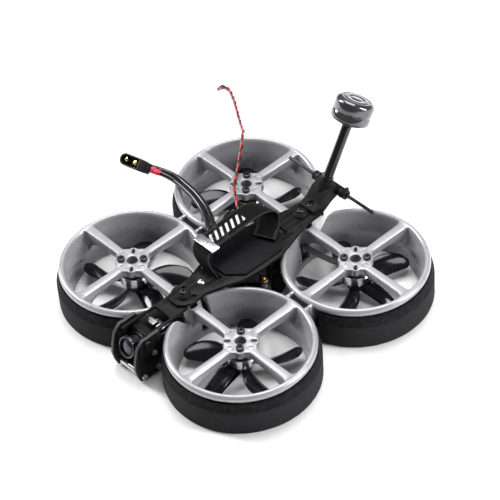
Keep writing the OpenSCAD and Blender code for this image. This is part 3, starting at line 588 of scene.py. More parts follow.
class Shape:
    """Vertices and faces in millimetres, with a material number for each face."""

    def __init__(self, matrix=None):
        self.verts, self.faces, self.numbers = [], [], []
        self.matrix = matrix or Matrix.Identity(4)
        self.mat = 0
        self.marks = []

    def add(self, verts, faces, marks=None):
        start = len(self.verts)
        self.verts += [self.matrix @ Vector(v) for v in verts]
        self.faces += [[start + i for i in f] for f in faces]
        self.numbers += [self.mat] * len(faces)
        self.marks += marks or [(0, 0, 0)] * len(verts)

    def loft(self, rings, cap=True, closed=False, marks=None):
        """Join rings of equal count; closed joins the last ring to the first."""
        n, m = len(rings[0]), len(rings)
        faces = [[i * n + k, i * n + (k + 1) % n, (i + 1) % m * n + (k + 1) % n,
                  (i + 1) % m * n + k]
                 for i in range(m if closed else m - 1) for k in range(n)]
        if cap and not closed:
            faces += [list(range(n))[::-1], [(m - 1) * n + k for k in range(n)]]
        self.add([p for ring in rings for p in ring], faces, marks)

    def turn(self, profile, n=48, place=None):
        """Turned solid: profile holds (radius, z), where a radius may depend on the angle."""
        place = place or Matrix.Identity(4)
        rings = []
        for r, z in profile:
            ring = []
            for k in range(n):
                a = 2 * math.pi * k / n
                size = r(a) if callable(r) else r
                ring.append(place @ Vector((size * math.cos(a), size * math.sin(a), z)))
            rings.append(ring)
        self.loft(rings)

    def ring(self, profile, n=144, start=0.0, sweep=360.0, wobble=None):
        """Closed (radius, z) section swept about the z axis."""
        full = sweep > 359.9
        steps = n if full else n + 1
        rings = []
        for k in range(steps):
            a = math.radians(start + sweep * k / n)
            d = wobble(a) if wobble else 0
            rings.append([((r + d) * math.cos(a), (r + d) * math.sin(a), z) for r, z in profile])
        self.loft(rings, cap=not full, closed=full)

    def tube(self, path, radius, n=12, ends=True):
        """Round tube; radius may be a list. Its ends are domed."""
        path = [Vector(p) for p in path]
        r = radius if isinstance(radius, list) else [radius] * len(path)
        frames = carried_frames(path)
        ways = headings(path)
        rings = []

        def at(c, f, size):
            return [c + size * (x * f[0] + y * f[1]) for x, y in circle(n)]
        if ends:
            for s in (0.35, 0.8):
                rings.append(at(path[0] + ways[0] * r[0] * 0.3 * (1 - s) * -1, frames[0],
                                r[0] * s))
        for c, f, size in zip(path, frames, r):
            rings.append(at(c, f, size))
        if ends:
            for s in (0.8, 0.35):
                rings.append(at(path[-1] + ways[-1] * r[-1] * 0.3 * (1 - s), frames[-1],
                                r[-1] * s))
        self.loft(rings)

    def block(self, low, high, bevel=0.2, place=None):
        """Box with chamfered edges all round."""
        place = place or Matrix.Identity(4)
        (x0, y0, z0), (x1, y1, z1) = low, high
        b = min(bevel, (x1 - x0) / 2.5, (y1 - y0) / 2.5, (z1 - z0) / 2.5)

        def outline(d, z):
            pts = [(x0 + d + b, y0 + d), (x1 - d - b, y0 + d), (x1 - d, y0 + d + b),
                   (x1 - d, y1 - d - b), (x1 - d - b, y1 - d), (x0 + d + b, y1 - d),
                   (x0 + d, y1 - d - b), (x0 + d, y0 + d + b)]
            return [place @ Vector((x, y, z)) for x, y in pts]
        self.loft([outline(b, z0), outline(b * 0.3, z0 + b * 0.3), outline(0, z0 + b),
                   outline(0, z1 - b), outline(b * 0.3, z1 - b * 0.3), outline(b, z1)])

    def plate(self, outlines, z0, z1, bevel=0.2, place=None, steps=2):
        """Flat plate with holes and rounded edges: the first outline is the outer one."""
        curve = bpy.data.curves.new("outline", "CURVE")
        curve.dimensions, curve.fill_mode = "2D", "BOTH"
        curve.extrude, curve.bevel_depth = (z1 - z0) / 2 - bevel, bevel
        curve.bevel_resolution, curve.offset = steps, -bevel
        for points in outlines:
            spline = curve.splines.new("POLY")
            spline.points.add(len(points) - 1)
            for p, (x, y) in zip(spline.points, points):
                p.co = (x, y, 0, 1)
            spline.use_cyclic_u = True
        holder = bpy.data.objects.new("outline", curve)
        bpy.context.collection.objects.link(holder)
        bpy.context.view_layer.update()
        mesh = bpy.data.meshes.new_from_object(
            holder.evaluated_get(bpy.context.evaluated_depsgraph_get()))
        move = (place or Matrix.Identity(4)) @ Matrix.Translation((0, 0, (z0 + z1) / 2))
        self.add([move @ v.co for v in mesh.vertices], [list(p.vertices) for p in mesh.polygons])
        bpy.data.objects.remove(holder)
        bpy.data.curves.remove(curve)
        bpy.data.meshes.remove(mesh)


def finish_mesh(mesh, angle):
    work = bmesh.new()
    work.from_mesh(mesh)
    bmesh.ops.remove_doubles(work, verts=work.verts, dist=1e-7)
    bmesh.ops.dissolve_degenerate(work, edges=work.edges, dist=1e-7)
    bmesh.ops.recalc_face_normals(work, faces=work.faces)
    work.to_mesh(mesh)
    work.free()
    mesh.shade_smooth()
    mesh.set_sharp_from_angle(angle=math.radians(angle))


def piece(name, shape, mats, body=AIR, replaces=(), slot=None, angle=38):
    """Make one object from a Shape, riding on a body."""
    mesh = bpy.data.meshes.new(name)
    mesh.from_pydata([v * MM for v in shape.verts], [], shape.faces)
    mesh.polygons.foreach_set("material_index", shape.numbers)
    if any(m != (0, 0, 0) for m in shape.marks):
        marks = mesh.attributes.new("strap_mm", "FLOAT_VECTOR", "POINT")
        marks.data.foreach_set("vector", [x for m in shape.marks for x in m])
    finish_mesh(mesh, angle)
    made = bpy.data.objects.new(name, mesh)
    bpy.context.collection.objects.link(made)
    for key in ([mats] if isinstance(mats, str) else mats):
        mesh.materials.append(MAT[key])
    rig.ride(made, body)
    if replaces:
        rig.replaces(made, *([replaces] if isinstance(replaces, str) else replaces))
    if slot:
        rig.slot(made, slot)
    return made


def softened(node, width, material, body=AIR, slot=None, steps=2, sharp=28):
    """The CAD solid's own shape with its sharp edges rounded over by width."""
    mesh = NODES[node].data.copy()
    work = bmesh.new()
    work.from_mesh(mesh)
    bmesh.ops.remove_doubles(work, verts=work.verts, dist=1e-7)
    bmesh.ops.dissolve_limit(work, angle_limit=math.radians(0.3), verts=work.verts,
                             edges=work.edges)
    edges = [e for e in work.edges if len(e.link_faces) == 2
             and e.calc_face_angle(0) > math.radians(sharp)]
    bmesh.ops.bevel(work, geom=edges, offset=width * MM, offset_type="OFFSET", segments=steps,
                    profile=0.5, clamp_overlap=True, affect="EDGES", miter_outer="ARC")
    bmesh.ops.triangulate(work, faces=[f for f in work.faces if len(f.verts) > 4])
    work.to_mesh(mesh)
    work.free()
    mesh.shade_smooth()
    mesh.set_sharp_from_angle(angle=math.radians(35))
    mesh.materials.clear()
    mesh.materials.append(MAT[material])
    made = bpy.data.objects.new(node + "_shell", mesh)
    for key in list(made.keys()):
        del made[key]
    bpy.context.collection.objects.link(made)
    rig.ride(made, body)
    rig.replaces(made, node)
    if slot:
        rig.slot(made, slot)
    return made


def cut(obj, boxes):
    """Take boxes (low, high) in millimetres out of a mesh."""
    for low, high in boxes:
        size = [h - l for l, h in zip(low, high)]
        centre = [(h + l) / 2 for l, h in zip(low, high)]
        mesh = bpy.data.meshes.new("cutter")
        work = bmesh.new()
        bmesh.ops.create_cube(work, size=1, matrix=Matrix.Translation(Vector(centre) * MM)
                              @ Matrix.Diagonal((*[s * MM for s in size], 1)))
        work.to_mesh(mesh)
        work.free()
        tool = bpy.data.objects.new("cutter", mesh)
        bpy.context.collection.objects.link(tool)
        change = obj.modifiers.new("cut", "BOOLEAN")
        change.operation, change.solver, change.object = "DIFFERENCE", "EXACT", tool
        bpy.context.view_layer.update()
        result = bpy.data.meshes.new_from_object(
            obj.evaluated_get(bpy.context.evaluated_depsgraph_get()))
        obj.modifiers.clear()
        old = obj.data
        obj.data = result
        bpy.data.meshes.remove(old)
        bpy.data.objects.remove(tool)
        bpy.data.meshes.remove(mesh)


def hexagon(across):
    return lambda a: across / 2 / math.cos((a + math.pi / 6) % (math.pi / 3) - math.pi / 6)


def screw(shape, place, head_d, head_h, length, shank_r=1.0, socket=1.8, knurl=True, button=False):
    """Cap screw: its head sits on z = 0 of place, and the shank points down."""
    r = head_d / 2

    def rough_side(a):
        return r - (0.06 * (1 - abs(math.cos(12 * a))) if knurl else 0)
    if button:
        top = [(r, 0), (r, head_h * 0.35), (r * 0.93, head_h * 0.62), (r * 0.75, head_h * 0.88),
               (r * 0.55, head_h)]
    else:
        top = [(r - 0.12, 0), (rough_side, 0.12), (rough_side, head_h - 0.3),
               (r - 0.12, head_h - 0.1),
               (r - 0.35, head_h)]
    deep = head_h - 1.0 if head_h > 1.3 else head_h * 0.4
    side = hexagon(socket)
    profile = [(0.01, -length), (shank_r * 0.7, -length), (shank_r, -length + 0.3), (shank_r, 0)] \
        + top + [(lambda a: side(a) + 0.12, head_h), (side, head_h - 0.12), (side, deep),
                 (0.01, deep - 0.1)]
    shape.turn(profile, 48, place)


def facing(at, axis):
    """Placement whose z axis points along axis."""
    return Matrix.Translation(at) @ Vector(axis).to_track_quat("Z", "Y").to_matrix().to_4x4()


# ---- cords ----

LEAD_ROUTE = [
    (-0.0116, -0.0081, 0.0271), (-0.017, -0.006, 0.0284), (-0.024, -0.002, 0.0299),
    (-0.033, 0.0035, 0.0306), (-0.042, 0.009, 0.0304), (-0.052, 0.0135, 0.0303),
    (-0.063, 0.0165, 0.0304), (-0.074, 0.018, 0.0305), (-0.084, 0.0184, 0.0308),
    (-0.0923, 0.0166, 0.0316), (-0.0976, 0.013, 0.0334), (-0.0999, 0.0088, 0.0364),
    (-0.1002, 0.0052, 0.04)]
PLUG_DIR = Vector((0.07, -0.64, 0.765)).normalized()
PLUG_SIDE = Vector((-0.98, -0.19, -0.07)).normalized()
LEAD_D = 0.0034
PIN_AT = 3.6
PAIR_ROUTE = [
    (-0.009, 0.013, 0.027), (-0.0126, 0.0148, 0.0292), (-0.017, 0.017, 0.0298),
    (-0.027, 0.023, 0.0302), (-0.038, 0.03, 0.0302), (-0.047, 0.036, 0.0299),
    (-0.054, 0.042, 0.0298), (-0.06, 0.05, 0.0298), (-0.066, 0.057, 0.0299),
    (-0.073, 0.065, 0.03), (-0.08, 0.073, 0.0302), (-0.084, 0.077, 0.0299),
    (-0.0885, 0.082, 0.0276), (-0.093, 0.086, 0.023), (-0.1, 0.091, 0.0158),
    (-0.109, 0.098, 0.0086), (-0.118, 0.1045, 0.0036), (-0.128, 0.111, 0.0016),
    (-0.138, 0.1175, 0.0012), (-0.146, 0.122, 0.0012), (-0.152, 0.1245, 0.0012),
    (-0.157, 0.124, 0.0012), (-0.158, 0.1195, 0.0012)]
WIRE_D = 0.0012
TWIST_PITCH = 0.011  # length of one turn of the pair


def length_of(path):
    return sum((b - a).length for a, b in zip(path, path[1:]))


def lead_side(k):
    f = max(0.0, (k - 8) / 4)
    way = (Vector(LEAD_ROUTE[min(k + 1, len(LEAD_ROUTE) - 1)])
           - Vector(LEAD_ROUTE[max(k - 1, 0)])).normalized()
    return ((1 - f) * way.cross(Vector((0, 0, 1))).normalized() + f * PLUG_SIDE).normalized()


def lead_offset(k):
    near = LEAD_D / 2 + 5e-5
    return near + (PIN_AT * MM - near) * max(0.0, (k - 9) / 3) ** 1.5


def make_leads():
    for name, s in (("battery_lead_negative", 1), ("battery_lead_positive", -1)):
        path = smooth_path([Vector(p) + s * lead_offset(k) * lead_side(k)
                            for k, p in enumerate(LEAD_ROUTE)], 8)
        shape = Shape()
        shape.tube([p / MM for p in path], LEAD_D / 2 / MM, 20)
        lead = piece(name, shape, "black_wire", replaces="battery_leads", slot="black_wire")
        sleeve = Shape()
        over = path[-21:-1]
        radii = [1.82,
                 1.98] + [2.02 + 0.07 * math.sin(1.7 * k) for k in range(len(over) - 3)] + [1.95]
        sleeve.tube([p / MM for p in over], radii, 20, ends=False)
        colour = "black_wire" if s > 0 else "red_sleeve"
        cover = piece(name + "_sleeve", sleeve, colour,
                      slot="black_wire" if s > 0 else "red_wire")
        yield lead, path, cover


def plug_place():
    side = (PLUG_SIDE - PLUG_SIDE.dot(PLUG_DIR) * PLUG_DIR).normalized()
    across = PLUG_DIR.cross(side)
    at = Vector(LEAD_ROUTE[-1]) / MM
    return Matrix(((side.x, across.x, PLUG_DIR.x, at.x), (side.y, across.y, PLUG_DIR.y, at.y),
                   (side.z, across.z, PLUG_DIR.z, at.z), (0, 0, 0, 1)))


def stadium(half_x, half_y, n=10, notch=0.0):
    """Rounded outline, flat on its long sides; notch squares off the +x end."""
    pts = []
    for sx, sy in ((1, 1), (-1, 1), (-1, -1), (1, -1)):
        r = half_y if (sx < 0 or not notch) else notch
        cx, cy = sx * (half_x - r), sy * (half_y - r)
        start = {(1, 1): 0, (-1, 1): 90, (-1, -1): 180, (1, -1): 270}[(sx, sy)]
        for k in range(n + 1):
            a = math.radians(start + 90 * k / n)
            pts.append((cx + r * math.cos(a), cy + r * math.sin(a)))
    return pts


def make_plug():
    """Two-pin power plug: keyed shell, recessed face, split gold contacts, cable boots."""
    place = plug_place()
    shape = Shape(place)

    def shell(half_x, half_y, z):
        return [(-x, y, z) for x, y in reversed(stadium(half_x, half_y, 8, 0.9))]
    shape.loft([shell(7.0, 3.4, 0.1), shell(7.3, 3.7, 0.4), shell(7.35, 3.75, 4.8),
                shell(7.6, 3.9, 5.2),
                shell(7.78, 3.97, 5.8), shell(7.78, 3.97, 15.4), shell(7.6, 3.8, 15.95),
                shell(6.95, 3.1, 15.95), shell(6.8, 2.95, 15.7), shell(6.75, 2.9, 8.0)])
    for y in (-1, 1):
        for k in range(5):
            low = y * 3.94 - 0.12
            shape.block((-5, low, 6.8 + 1.6 * k), (5, low + 0.24, 7.5 + 1.6 * k), 0.1)
    shape.mat = 1
    for x in (-PIN_AT, PIN_AT):
        pin = Matrix.Translation((x, 0, 0))
        shape.turn([(1.7, 7.9), (1.7, 13.6), (1.5, 14.2), (0.8, 14.4), (0.6, 13.9), (0.01, 13.9)],
                   32, pin)
        shape.turn([(2.2, 7.9), (2.2, 8.4), (1.8, 8.5), (1.6, 8.4)], 32, pin)
    shape.mat = 2
    for x in (-PIN_AT, PIN_AT):
        shape.turn([(2.1, -1.6), (2.35, -0.4), (2.4, 0.6), (0.5, 0.6)], 24,
                   Matrix.Translation((x, 0, 0)))
    return piece("power_plug", shape, ["nylon", "gold", "black_wire"], replaces="battery_plug",
                 slot="plug_nylon")


def make_pair():
    """Red and black wires twisted round each other, their ends stripped and tinned."""
    core = smooth_path(PAIR_ROUTE, 14)
    frames = carried_frames(core)
    travelled, turns = 0.0, []
    for i, p in enumerate(core):
        travelled += (p - core[i - 1]).length if i else 0
        turns.append(2 * math.pi * travelled / TWIST_PITCH)
    for name, colour, slot, phase in (("power_wire_red", "red_wire", "red_wire", 0.0),
                                      ("power_wire_black", "black_wire", "black_wire", math.pi)):
        path = [p + WIRE_D / 2 * (math.cos(t + phase) * f[0] + math.sin(t + phase) * f[1])
                for p, f, t in zip(core, frames, turns)]
        shape = Shape()
        shape.tube([p / MM for p in path], WIRE_D / 2 / MM, 10)
        wire = piece(name, shape, colour, replaces="power_pair", slot=slot)
        tip = Shape()
        way = (path[-1] - path[-2]).normalized()
        tip.tube([(path[-1] + way * k * 0.0006) / MM for k in range(-1, 4)], 0.3, 8)
        bare = piece(name + "_tip", tip, "tin", slot="silver_steel")
        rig.cord(wire, exit=path[0], length=length_of(path), diameter=WIRE_D, far_end="bare",
                stiffness="limp", lay="loose", path=path, with_pieces=[bare])


leads = list(make_leads())
plug = make_plug()
for lead, path, cover in leads:
    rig.cord(lead, exit=path[0], length=length_of(path), diameter=LEAD_D, far_end="plug",
            stiffness="medium", lay="loose", path=path,
            with_pieces=[cover, plug] if lead.name == "battery_lead_negative" else [cover])
make_pair()


# ---- ducts, guards, motors, propellers ----

LIP = [(39.3, 0.9), (39.3, 5), (39.3, 9), (39.3, 12), (39.42, 14), (39.72, 16), (40.15, 18),
       (40.65, 20), (41.15, 22), (41.6, 24), (41.95, 25.6), (42.3, 26.9), (42.7, 27.8),
       (43.2, 28.35), (43.8, 28.58), (44.5, 28.5), (45.2, 28.2), (45.8, 27.65), (46.2, 26.9),
       (46.38, 26.1), (46.3, 25.3), (45.95, 24.55), (45.3, 24.0), (44.4, 23.55), (43.5, 21.8),
       (42.6, 19.9), (41.8, 17.9), (41.2, 15.6), (40.8, 13.2), (40.7, 9), (40.7, 5), (40.7, 0.9),
       (40.45, 0.62), (39.55, 0.62)]
SPOKE_FLOOR = [(7, 22.8), (25, 22.4), (31, 21.1), (34, 19.6), (36, 18.2), (37.5, 16.2),
               (38.6, 13.9),
               (39.4, 11.2), (40.4, 11)]


def between(table, x):
    for (x0, y0), (x1, y1) in zip(table, table[1:]):
        if x <= x1:
            return y0 + (y1 - y0) * max(0, x - x0) / (x1 - x0)
    return table[-1][1]


def wall_middle(z):
    """Radius of the middle of a duct wall at height z."""
    return between([(0, 40), (13, 40), (18, 41), (22, 42.2), (25, 43.4), (28.3, 43.7)], z)


def spoke(shape, angle):
    turn = Matrix.Rotation(math.radians(angle), 4, "Z")
    inner, top = 9.6, 28.3
    stations = [0, 0.02, 0.05, 0.1, 0.2, 0.35, 0.5, 0.62, 0.72, 0.8, 0.86, 0.9, 0.93, 0.96, 0.985,
                1]
    rings = []
    for t in stations:
        x = inner + (39.9 - inner) * t
        floor = between(SPOKE_FLOOR, x)
        hub_flare = 1.5 * max(0, 1 - (x - inner) / 3.4) ** 2
        half = (5 + 1.2 * t) / 2 + hub_flare
        outline = []
        for side in (1, -1):
            arc = [(half - 0.95 + 0.95 * math.sin(a), top - 0.95 + 0.95 * math.cos(a))
                   for a in (0, 0.4, 0.8, 1.2, math.pi / 2)]
            arc += [(half, top - 2.5), (half - 0.05, (top + floor) / 2), (half - 0.1, floor + 0.5),
                    (half - 0.3, floor + 0.15), (half - 0.65, floor)]
            outline += [(side * y, z) for y, z in (arc if side > 0 else arc[::-1])]
        ring = []
        for y, z in outline:
            reach = inner + (wall_middle(z) - inner) * t
            gap = wall_middle(z) - 0.6 - reach
            flare = 2.6 * max(0, 1 - gap / 3.2) ** 2.2
            ring.append(turn @ Vector((reach, y + math.copysign(flare, y), z)))
        rings.append(ring)
    shape.loft(rings)


def hub_outline():
    octagon = [(11.4 * math.cos(a) - 2.6 * s * math.sin(a),
                11.4 * math.sin(a) + 2.6 * s * math.cos(a))
               for a in [math.radians(d) for d in (0, 90, 180, 270)] for s in (-1, 1)]
    pts = []
    for k in range(144):
        a = 2 * math.pi * k / 144
        way = Vector((math.cos(a), math.sin(a)))
        reach = 0
        for (x0, y0), (x1, y1) in zip(octagon, octagon[1:] + octagon[:1]):
            edge = Vector((x1 - x0, y1 - y0))
            cross = way.x * edge.y - way.y * edge.x
            if abs(cross) > 1e-6:
                t = (x0 * edge.y - y0 * edge.x) / cross
                u = (x0 * way.y - y0 * way.x) / cross
                if t > 0 and -1e-6 <= u <= 1 + 1e-6:
                    reach = max(reach, t)
        for x in (-5.4, 5.4):
            for y in (-5.4, 5.4):
                along = way.x * x + way.y * y
                off = x * x + y * y - along * along
                if off < 3.3 ** 2 and along > 0:
                    reach = max(reach, along + math.sqrt(3.3 ** 2 - off))
        pts.append((reach * way.x, reach * way.y))
    return pts


def moved(points, x=0, y=0, turn=0):
    c, s = math.cos(turn), math.sin(turn)
    return [(x + c * a - s * b, y + s * a + c * b) for a, b in points]


def make_duct_piece(side):
    place = at_corner(side)
    ring = Shape()
    ring.ring(LIP, 160)
    walls = piece("duct_" + side + "_wall", ring, "duct", replaces="duct_" + side,
                  slot="duct_plastic",
                  angle=60)
    cut(walls, [((-60, -30, -1), (-44.9, 30, 39)), ((-60, 3, -1), (-39.9, 43, 39)),
                ((-50, -10.2, 5), (-33.4, -3, 45))])
    walls.data.transform(Matrix.Translation(place.translation * MM)
                         @ Matrix.Diagonal((*CORNERS[side], 1, 1)))
    if place.determinant() < 0:
        walls.data.flip_normals()
    shape = Shape(place)
    for angle in (0, 90, -90, 180):
        spoke(shape, angle)
    outline = hub_outline()
    slots = [moved(stadium(2.2, 1.1, 6), s * 8 * math.cos(math.pi / 4),
                   -s * 8 * math.sin(math.pi / 4),
                   -math.pi / 4) for s in (-1, 1)]
    holes = [circle(40, 3.5)] + slots + [moved(circle(20, 1.1), s * 5, s * 5) for s in (-1, 1)]
    shape.plate([outline] + holes, 23.6, 28.1, 0.25)
    pockets = [moved(stadium(1.7, 1.7, 6, 0.7), 8.7 * math.cos(a), 8.7 * math.sin(a), a)
               for a in (0, math.pi / 2, math.pi, 1.5 * math.pi)]
    shape.plate([outline] + holes + pockets, 27.7, HUB_TOP, 0.38, steps=3)
    shape.ring([(3.5, 24.2), (4.1, 24.2), (4.1, 27.9), (3.5, 27.9)], 40)
    # root block towards the middle of the airframe, its window, and the two half bridges
    shape.block((-49.1, -3.5, 2), (-39.8, 3.5, 17.2), 0.5)
    shape.block((-49.1, -3.5, 20.4), (-39.8, 3.5, 28.3), 0.5)
    shape.block((-42.2, -3.5, 16.5), (-39.8, 3.5, 21), 0.3)
    shape.block((-49.1, -3.5, 27.6), (-42.9, 3.5, 31), 0.4)
    for x in (-8, 8):
        for reach, low, high in ((39.7, 7, 15.5), (40.2, 15, 20), (42.5, 19.5, 27.2)):
            shape.block((x - 1, -48.1, low), (x + 1, -reach, high), 0.3)
    return piece("duct_" + side + "_frame", shape, "duct", replaces="duct_" + side,
                 slot="duct_plastic", angle=50)


def make_foam_piece(side):
    """Guard moulded from sheet foam: soft corners, a slight swell between its glue lines."""
    profile = [(40.85, 0.3), (41.1, 0), (44, 0), (47.9, 0), (48.3, 0.15), (48.52, 0.5),
               (48.6, 1.2),
               (48.6, 5), (48.6, 9), (48.6, 13), (48.6, 16.2), (48.5, 16.75), (48.25, 17.25),
               (47.9, 18.8), (47.55, 20.4), (47.2, 22), (46.98, 22.9), (46.7, 23.3), (46.3, 23.4),
               (44.6, 23.4), (44.3, 23.1), (43.3, 20.7), (42.1, 18.1), (41.4, 15.4), (40.82, 12.8),
               (40.8, 6)]
    shape = Shape(at_corner(side))
    phase = random.uniform(0, 6)
    shape.ring(profile, 200, -73, 209,
               lambda a: -0.06 + 0.05 * math.sin(5 * a + phase) * math.sin(11 * a + 2 * phase))
    guard = piece("foam_guard_" + side, shape, "foam", replaces="foam_" + side, slot="eva_foam",
                  angle=55)
    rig.padded(guard, fill=1.0)


TEETH = 9
TOOTH_ANGLE = 360 // TEETH


def make_motor(side):
    place = at_corner(side)
    base = Shape(place)
    base.turn([(1.6, 21.4), (3, 21.6), (4.3, 21.7), (5, 22.3), (7.9, 22.4), (8.3, 22.6),
               (8.3, 22.9),
               (8.5, 23.1), (8.5, 23.3), (8.25, 23.58), (1.6, 23.58)], 72)
    base.ring([(1.55, 13.8), (2.8, 13.8), (3, 14), (3, 21.7), (1.55, 21.7)], 40)
    base.mat = 1
    for k in range(TEETH):
        a = math.radians(TOOTH_ANGLE * k)
        tooth = Matrix.Rotation(a, 4, "Z")
        base.block((3, -0.8, 15.1), (7.2, 0.8, 20.3), 0.12, tooth)
        base.ring([(7.1, 15.6), (7.75, 15.6), (7.75, 19.6), (7.1, 19.6)], 8, TOOTH_ANGLE * k - 15,
                  30)
    base.ring([(3, 15), (4.4, 15), (4.4, 20.5), (3, 20.5)], 48)
    piece("motor_base_" + side + "_turned", base, ["motor", "core"], replaces="motor_base_" + side,
          slot="motor_metal")


def make_windings():
    shape = Shape()
    for side in SIDES:
        place = at_corner(side)
        for tooth in range(TEETH):
            for layer in range(7):
                turn = place @ Matrix.Rotation(math.radians(TOOTH_ANGLE * tooth), 4, "Z")
                r = 4.75 + 0.42 * layer
                half = 0.78 + 0.1 * layer
                loop = [(x * (half + 0.42), z * 3.7) for x, z in
                        ((-1, -0.84), (-0.72, -1), (0.72, -1), (1, -0.84), (1, 0.84), (0.72, 1),
                         (-0.72, 1), (-1, 0.84))]
                rings = []
                for x, z in loop:
                    out = Vector((x, 0, z * 0.5)).normalized()
                    rings.append([turn @ Vector((r + 0.22 * c, x + 0.22 * s * out.x,
                                                 18 + z + 0.22 * s * out.z))
                                  for c, s in circle(6)])
                shape.loft(rings, closed=True)
    piece("stator_coils", shape, "copper", replaces="motor_windings", slot="copper_wire", angle=80)


def make_rotor(side):
    """Bell with magnets, blades and screws: all turn together."""
    place, body = at_corner(side), "rotor_" + side
    bell = Shape(place)
    bell.ring([(8.15, 13.1), (8.15, 19.3), (8.4, 19.58), (9.0, 19.58), (9.28, 19.3), (9.28, 18.3),
               (9.12, 18.15), (9.12, 17.9), (9.28, 17.75), (9.28, 13.2), (9.1, 12.8), (8.6, 12.1),
               (8.2, 11.92), (7.9, 11.92), (7.9, 13.1)], 96)
    windows = [moved(stadium(1.7, 1.25, 8), 5.6 * math.cos(a), 5.6 * math.sin(a), a + math.pi / 2)
               for a in [math.radians(60 * k + 30) for k in range(6)]]
    bell.plate([circle(72, 8.1)] + windows, 11.92, 13.3, 0.15)
    bell.turn([(1.0, 11.95), (1.5, 12.2), (1.5, 23.2), (1.35, 23.45), (0.9, 23.5), (0.3, 23.3)],
              32)
    bell.mat = 1
    for k in range(12):
        bell.ring([(7.86, 14.2), (8.17, 14.2), (8.17, 19.0), (7.86, 19.0)], 5, 30 * k + 3, 24)
    piece("motor_bell_" + side + "_turned", bell, ["bell", "core"], body, "motor_bell_" + side,
          "bell_metal")

    phase = {"front_left": 12, "front_right": 20, "rear_left": 7, "rear_right": 40}[side]
    prop = Shape(place @ Matrix.Rotation(math.radians(phase), 4, "Z"))
    prop.ring([(0.76, 5.6), (2, 5.55), (5.4, 5.55), (5.95, 5.75), (6.2, 6.3), (6.2, 11.3),
               (6.0, 11.75),
               (5.7, 11.85), (0.76, 11.85)], 60)
    for blade in range(5):
        turn = Matrix.Rotation(math.radians(72 * blade), 4, "Z")
        rings = []
        for k in range(27):
            f = k / 26
            r = 4.8 + 32.7 * f
            chord = 5 + 9.5 * math.sin(math.pi * min(f * 0.72 + 0.08, 0.9))
            if f > 0.86:
                chord *= max(0.12, math.sqrt(max(0, 1 - ((f - 0.86) / 0.145) ** 2)))
            pitch = math.radians(38 - 22 * f)
            lead = 3.2 * math.sin(math.pi * f) - 2.2 * f * f
            thick = (1.45 - 0.75 * f) * (0.5 if f > 0.97 else 1)
            ring = []
            for j in range(18):
                a = 2 * math.pi * j / 18
                u = math.cos(a)
                belly = math.sin(a)
                c = chord / 2 * u
                t = thick / 2 * belly * (0.75 - 0.25 * u) + 0.05 * chord * (1 - u * u)
                ring.append(turn @ Vector((r, lead + c * math.cos(pitch) - t * math.sin(pitch),
                                           8 + c * math.sin(pitch) + t * math.cos(pitch))))
            rings.append(ring)
        prop.loft(rings)
    piece("propeller_" + side + "_blades", prop, "prop", body, "propeller_" + side, "prop_plastic",
          angle=60)

    screws = Shape(place)
    for s in (-1, 1):
        screw(screws, facing((2.5 * s, 0, 5.5), (0, 0, -1)), 3, 1.4, 7.4, 0.78, 1.3, False, True)
    piece("prop_screws_" + side + "_set", screws, "black_steel", body, "prop_screws_" + side,
          "black_steel")


for side in SIDES:
    make_duct_piece(side)
    make_foam_piece(side)
    make_motor(side)
    make_rotor(side)
make_windings()

HUB_SCREW_D = 4.9
hub_screws = Shape()
for side in SIDES:
    hub_screws.matrix = at_corner(side)
    for s in (-1, 1):
        screw(hub_screws, Matrix.Translation((5 * s, 5 * s, HUB_TOP)), HUB_SCREW_D, 2, 6.7)
piece("motor_screw_set", hub_screws, "black_steel", replaces="motor_screws", slot="black_steel")

# motor wires: three braided wires side by side along each inner spoke
motor_wires = Shape()
LEAD_STATIONS = [(-8.9, -3.6, 21.7), (-13, -5.6, 21), (-20, -6.4, 20), (-30, -6.6, 18.4),
                 (-38, -6.6, 17.6), (-41.5, -6.6, 16.6)]
for side in SIDES:
    motor_wires.matrix = at_corner(side)
    middle = smooth_path(LEAD_STATIONS, 5)
    across = [way.cross(Vector((0, 0, 1))).normalized() for way in headings(middle)]
    for offset in (-1.5, 0, 1.5):
        motor_wires.tube([p + offset * a for p, a in zip(middle, across)], 0.72, 10)
piece("motor_wires", motor_wires, "braid", replaces="motor_leads", slot="black_wire", angle=80)

blocks = Shape()
for s in (-1, 1):
    x = s * MOTOR_X
    blocks.block((x - 6.6, -7.2, 1), (x + 6.6, 7.2, 12.8), 0.9)
    blocks.block((x - 6.6, -1.4, 12), (x + 6.6, 1.4, 26), 0.5)
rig.padded(piece("bridge_pad_set", blocks, "block_foam", replaces="bridge_pads", slot="eva_foam"),
          1.0)


# ---- plates and hardware ----

for node, width, material, slot in (
        ("top_plate", 0.22, "carbon", "carbon"), ("bottom_plate", 0.22, "carbon", "carbon"),
        ("nose_bracket", 0.2, "carbon", "carbon"),
        ("camera_plate_left", 0.25, "carbon_side", "carbon"),
        ("camera_plate_right", 0.25, "carbon_side", "carbon"),
        ("standoffs", 0.15, "anodised", "anodised"),
        ("camera_spacers", 0.15, "tin", "silver_steel"), ("boss_washers", 0.2, "tpu", "tpu")):
    softened(node, width, material, slot=slot)

TOP = 33.0
pad = Shape()
PAD_OUTLINE = [(6, -20.5), (15, -11.5), (15, 19), (7.5, 26.5), (-7.5, 26.5), (-15, 19),
               (-15, -11.5),
               (-6, -20.5)]
pad.plate([PAD_OUTLINE], TOP, TOP + 1.15, 0.35, steps=3)
pad.plate([PAD_OUTLINE, [(x * 0.93, 0.2 + y * 0.93) for x, y in PAD_OUTLINE]], TOP + 1, TOP + 1.38,
          0.15, steps=2)
for y in (-9, 15.5):
    pad.block((-13.4, y - 0.35, TOP + 1.05), (13.4, y + 0.35, TOP + 1.24), 0.09)
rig.padded(piece("battery_grip_pad", pad, "pad", replaces="battery_pad", slot="pad_rubber"), 1.0)

